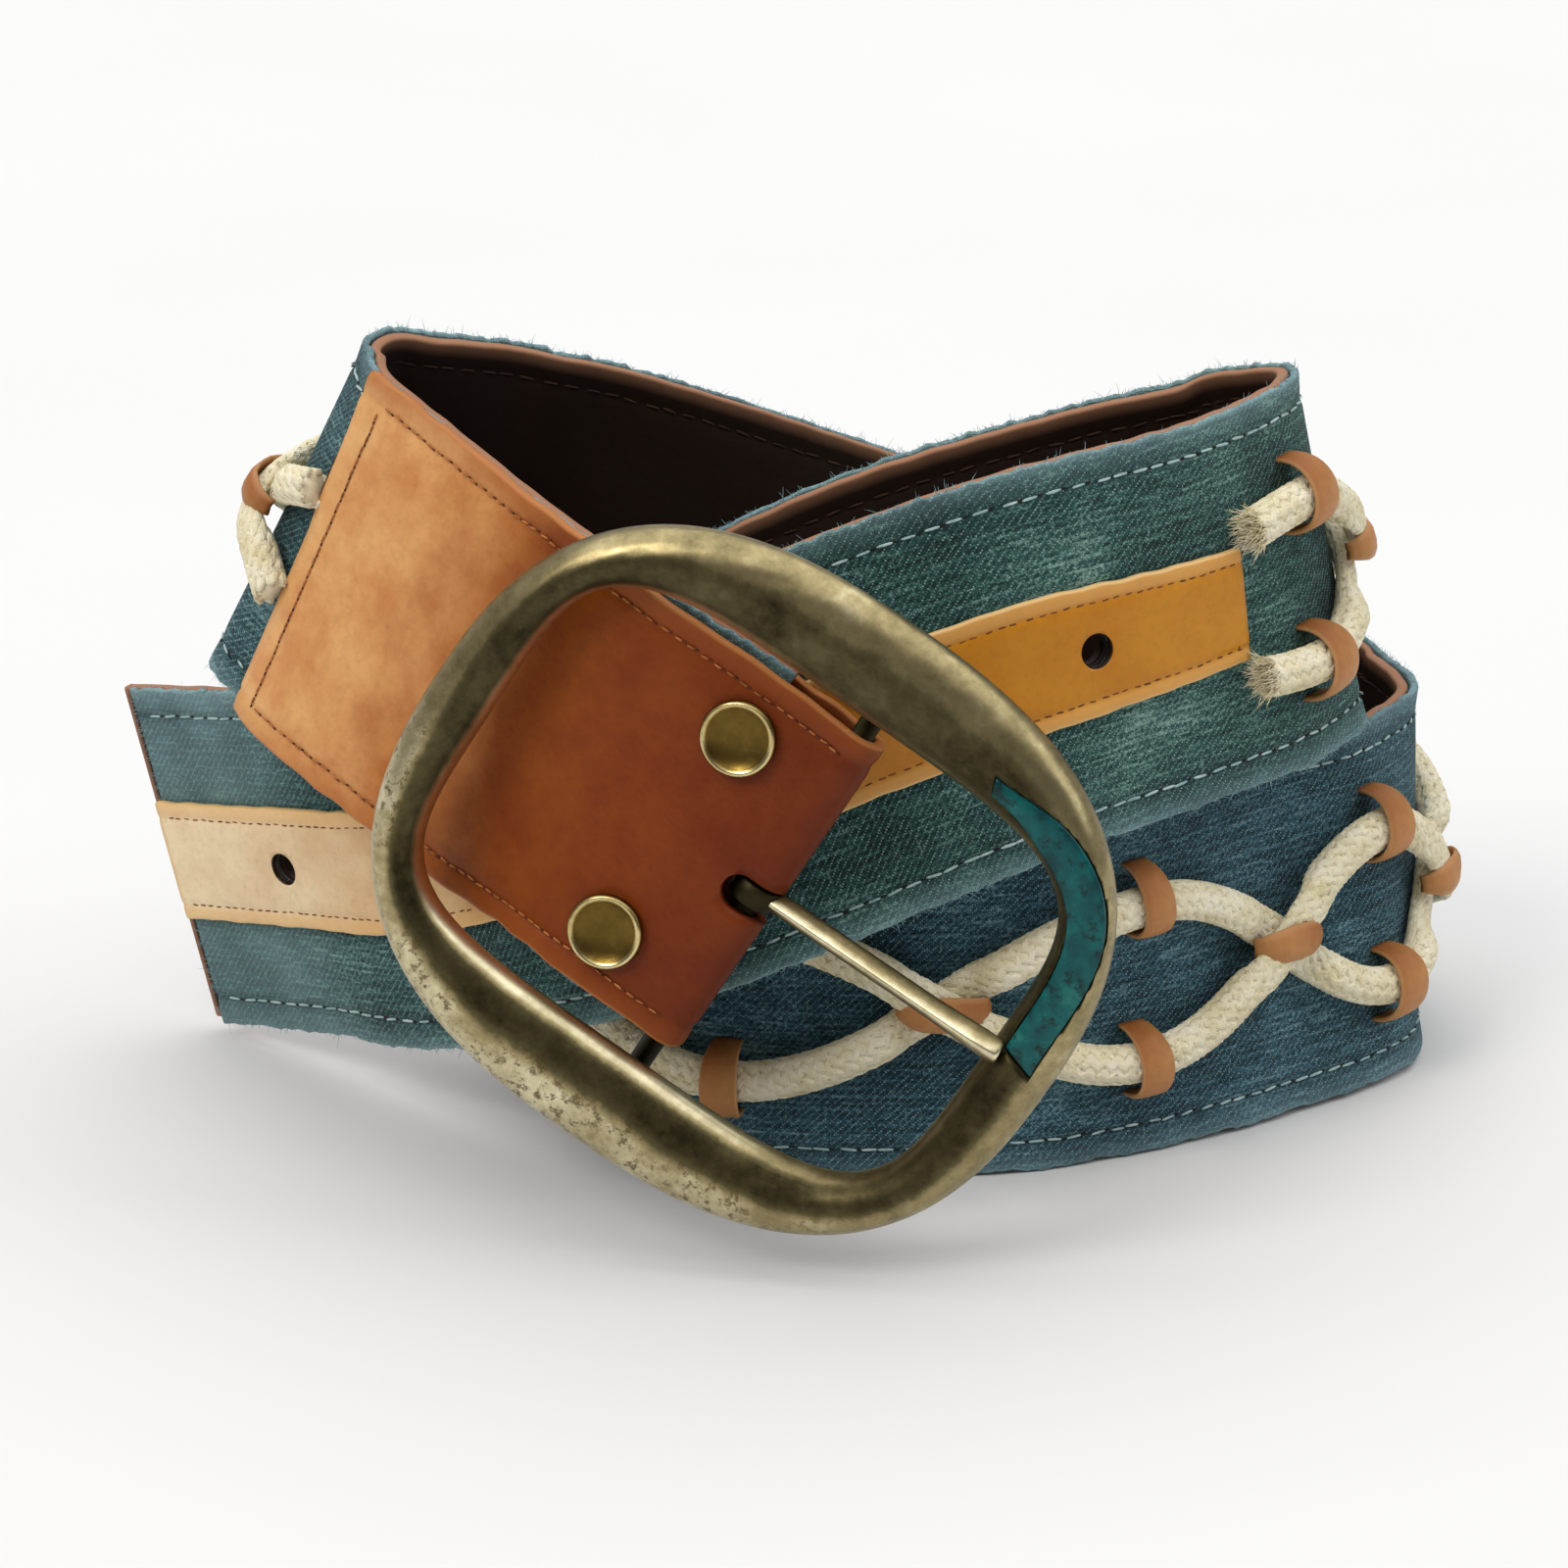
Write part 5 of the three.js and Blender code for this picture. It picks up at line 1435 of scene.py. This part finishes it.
def crosswise_row(s, half, n, seed):
    """Points of a stitch row across the strap, with directions."""
    rng = np.random.RandomState(seed)
    w = np.arange(-half, half + 0.1, SMALL_PITCH)
    place = s + rng.uniform(-0.1, 0.1, len(w))
    points = strap_point(place, w, n)
    ahead = strap_point(place, w + 0.5, n)
    outward = strap_point(place, w, n + 1) - points
    return points, unit(ahead - points), unit(outward)


def strip_row_shift(s):
    return STRIP_ROW * (strip_growth(s) - 1)


def strip_end_row(s, seed):
    return crosswise_row(s, STRIP_ROW * STRIP_END_HALF / STRIP_HALF_WIDTH - 0.4, 3.55, seed)


def tab_end_row(s, seed):
    return crosswise_row(s, TAB_ROW + TAB_FAR_HALF - TAB_NEAR_HALF - 1, TAB_FRONT + TAB_LEATHER, seed)


# Loose fibres at the cut edges

def fibres(name, roots, directions, lengths, radius, material, seed, bend=0.5):
    """Short curved hairs of three sides and four rings, each along its own direction."""
    rng = np.random.RandomState(seed)
    count = len(roots)
    drift = unit(rng.normal(size=(count, 3))) * bend
    side = unit(np.cross(directions, drift + [0.01, 0.02, 0.03]))[:, None, None]
    other = unit(np.cross(directions, side[:, 0, 0]))[:, None, None]
    steps = np.array([0.0, 0.35, 0.7, 1.0])
    thin = np.array([1.0, 0.85, 0.6, 0.15])
    sides, rings = 3, len(steps)
    t = steps[None, :, None] * lengths[:, None, None]
    line = roots[:, None] + directions[:, None] * t + drift[:, None] * t * steps[None, :, None]
    angle = (np.arange(sides) * 2 * math.pi / sides)[None, None, :, None]
    offset = side * np.cos(angle) + other * np.sin(angle)
    points = line[:, :, None] + offset * (radius * thin)[None, :, None, None]
    index = np.arange(count * rings * sides).reshape(count, rings, sides)
    after = np.roll(index, -1, 2)
    walls = np.stack([index[:, :-1], after[:, :-1], after[:, 1:], index[:, 1:]], axis=-1)
    faces = walls.reshape(-1, 4).tolist() + index[:, 0, ::-1].tolist() + index[:, -1].tolist()
    piece = new_object(name, points.reshape(-1, 3), faces)
    face_outwards(piece)
    return put_material(piece, material)


def build_edge_fibres():
    """Cotton hairs along both edges of the denim and across its tip, none below the floor."""
    rng = np.random.RandomState(81)
    tip = LENGTH - TIP_OVERHANG
    roots = []
    directions = []
    for side in (-1, 1):
        s = rng.uniform(TAB_SEAM + 1, tip, 2600)
        n = rng.uniform(0.4, 1.7, len(s))
        roots.append(strap_point(s, side * (HALF_WIDTH - 0.3), n))
        _, along, across, outward = strap_directions(s)
        lean = rng.normal(size=(len(s), 3)) * [0.8, 0.35, 0.5]
        direction = across * (side * (0.7 + lean[:, 1:2])) + along * lean[:, 0:1]
        directions.append(unit(direction + outward * (0.2 + lean[:, 2:3])))
    w = rng.uniform(1 - HALF_WIDTH, HALF_WIDTH - 1, 420)
    _, along, across, outward = strap_directions(np.full(len(w), tip))
    roots.append(strap_point(tip - 0.2, w, rng.uniform(0.4, 1.6, len(w))))
    spread = rng.normal(size=(len(w), 3)) * 0.5
    directions.append(unit(along + across * spread[:, :1] + outward * spread[:, 1:2]))
    roots, directions = np.vstack(roots), np.vstack(directions)
    lengths = rng.uniform(0.5, 1.5, len(roots)) * rng.choice([1, 1, 1, 1.6], len(roots))
    above = roots[:, 2] + np.minimum(directions[:, 2] - 0.5, 0) * lengths > 0
    fibres("denim_edge_fibres", roots[above], directions[above], lengths[above], 0.07, "fibre", 82)


def build_cord_fibres():
    """Frayed ends of both cords where they stop before the hole strip."""
    rng = np.random.RandomState(91)
    count = 260
    for strand, name in ((1, "upper"), (-1, "lower")):
        across, out, half_width, half_height = [v[0] for v in lace_course(np.array([LACE_END]), strand)]
        radius = np.sqrt(rng.uniform(0, 1, count))
        angle = rng.uniform(0, 2 * math.pi, count)
        aside, above = radius * np.cos(angle), radius * np.sin(angle)
        w, n = across + half_width * aside, out + half_height * above
        root = strap_point(np.full(count, LACE_END - 1.2), w, n)
        _, along, up, outward = strap_directions(np.full(count, LACE_END))
        spread = rng.normal(size=(count, 3)) * 0.28
        sideways = up * (0.45 * aside + spread[:, 0])[:, None]
        direction = unit(along + sideways + outward * (0.35 * above + spread[:, 1])[:, None])
        lengths = rng.uniform(2.0, 4.6, count)
        fibres(f"cord_{name}_fray", root, direction, lengths, 0.13, "cord", 92 + strand, 0.35)


# Camera, light and floor

def lamp(name, azimuth, elevation, spread, power, tint):
    """A soft far lamp; azimuth 0 is the camera's side, positive to the right."""
    data = bpy.data.lights.new(name, "SUN")
    data.angle = math.radians(spread)
    data.energy = power
    data.color = colour(tint)[:3]
    holder = bpy.data.objects.new(name, data)
    bpy.context.scene.collection.objects.link(holder)
    a, e = math.radians(azimuth), math.radians(elevation)
    towards = Vector((math.sin(a) * math.cos(e), -math.cos(a) * math.cos(e), math.sin(e)))
    holder.location = towards * 2
    holder.rotation_euler = (-towards).to_track_quat("-Z", "Y").to_euler()


def build_camera():
    data = bpy.data.cameras.new("camera")
    data.lens = FOCAL_PIXELS / PICTURE_WIDTH * SENSOR_WIDTH
    data.sensor_width = SENSOR_WIDTH
    camera = bpy.data.objects.new("camera", data)
    bpy.context.scene.collection.objects.link(camera)
    place, target = [(Vector(point) - Vector((*MIDDLE, 0))) * MM for point in (CAMERA_PLACE, CAMERA_TARGET)]
    camera.location = place
    camera.rotation_euler = (target - place).to_track_quat("-Z", "Y").to_euler()
    bpy.context.scene.camera = camera


def build_studio():
    """A round soft box overhead in a dim room that is darkest behind the camera, and two lamps."""
    world = bpy.data.worlds.new("studio")
    world.use_nodes = True
    tree = world.node_tree
    direction = add(tree, "ShaderNodeTexCoord", {}, "Generated")
    parts = add(tree, "ShaderNodeSeparateXYZ", {"Vector": direction}, None).outputs
    soft_box = add(tree, RAMP, {"Fac": parts[2]}, stops=[(0.58, 0.0), (0.76, 1.0)])
    depth = add(tree, MATH, {0: parts[1], 1: 0.5, 2: 0.5}, operation="MULTIPLY_ADD")
    room = add(tree, RAMP, {"Fac": depth}, stops=[(0.0, 0.12), (0.3, 0.14), (0.6, 0.4), (1, 0.55)])
    strength = add(tree, MATH, {0: soft_box, 1: 1.46, 2: room}, operation="MULTIPLY_ADD")
    background = tree.nodes["Background"]
    background.inputs["Color"].default_value = colour(0xFBFBFB)
    tree.links.new(strength, background.inputs["Strength"])
    bpy.context.scene.world = world
    lamp("key_light", -42, 42, 24, 1.0, 0xFFFAF4)
    lamp("side_light", 78, 30, 30, 0.5, 0xF4F8FF)
    bpy.context.scene.view_settings.view_transform = "Standard"

    corners = [(-1, -1, 0), (1, -1, 0), (1, 1, 0), (-1, 1, 0)]
    floor = new_object("floor", np.array(corners) * FLOOR_HALF, [(0, 1, 2, 3)])
    floor.location.z = -FLOOR_DROP * MM
    floor.data.materials.append(MATERIAL["floor"])


build_camera()
build_studio()
build_strap()
build_tab()
build_ring()
build_inlay()
build_prong()
build_cap("snap_cap_upper", 1)
build_cap("snap_cap_lower", -1)
build_lacing()
build_stitches()
build_edge_fibres()
build_cord_fibres()
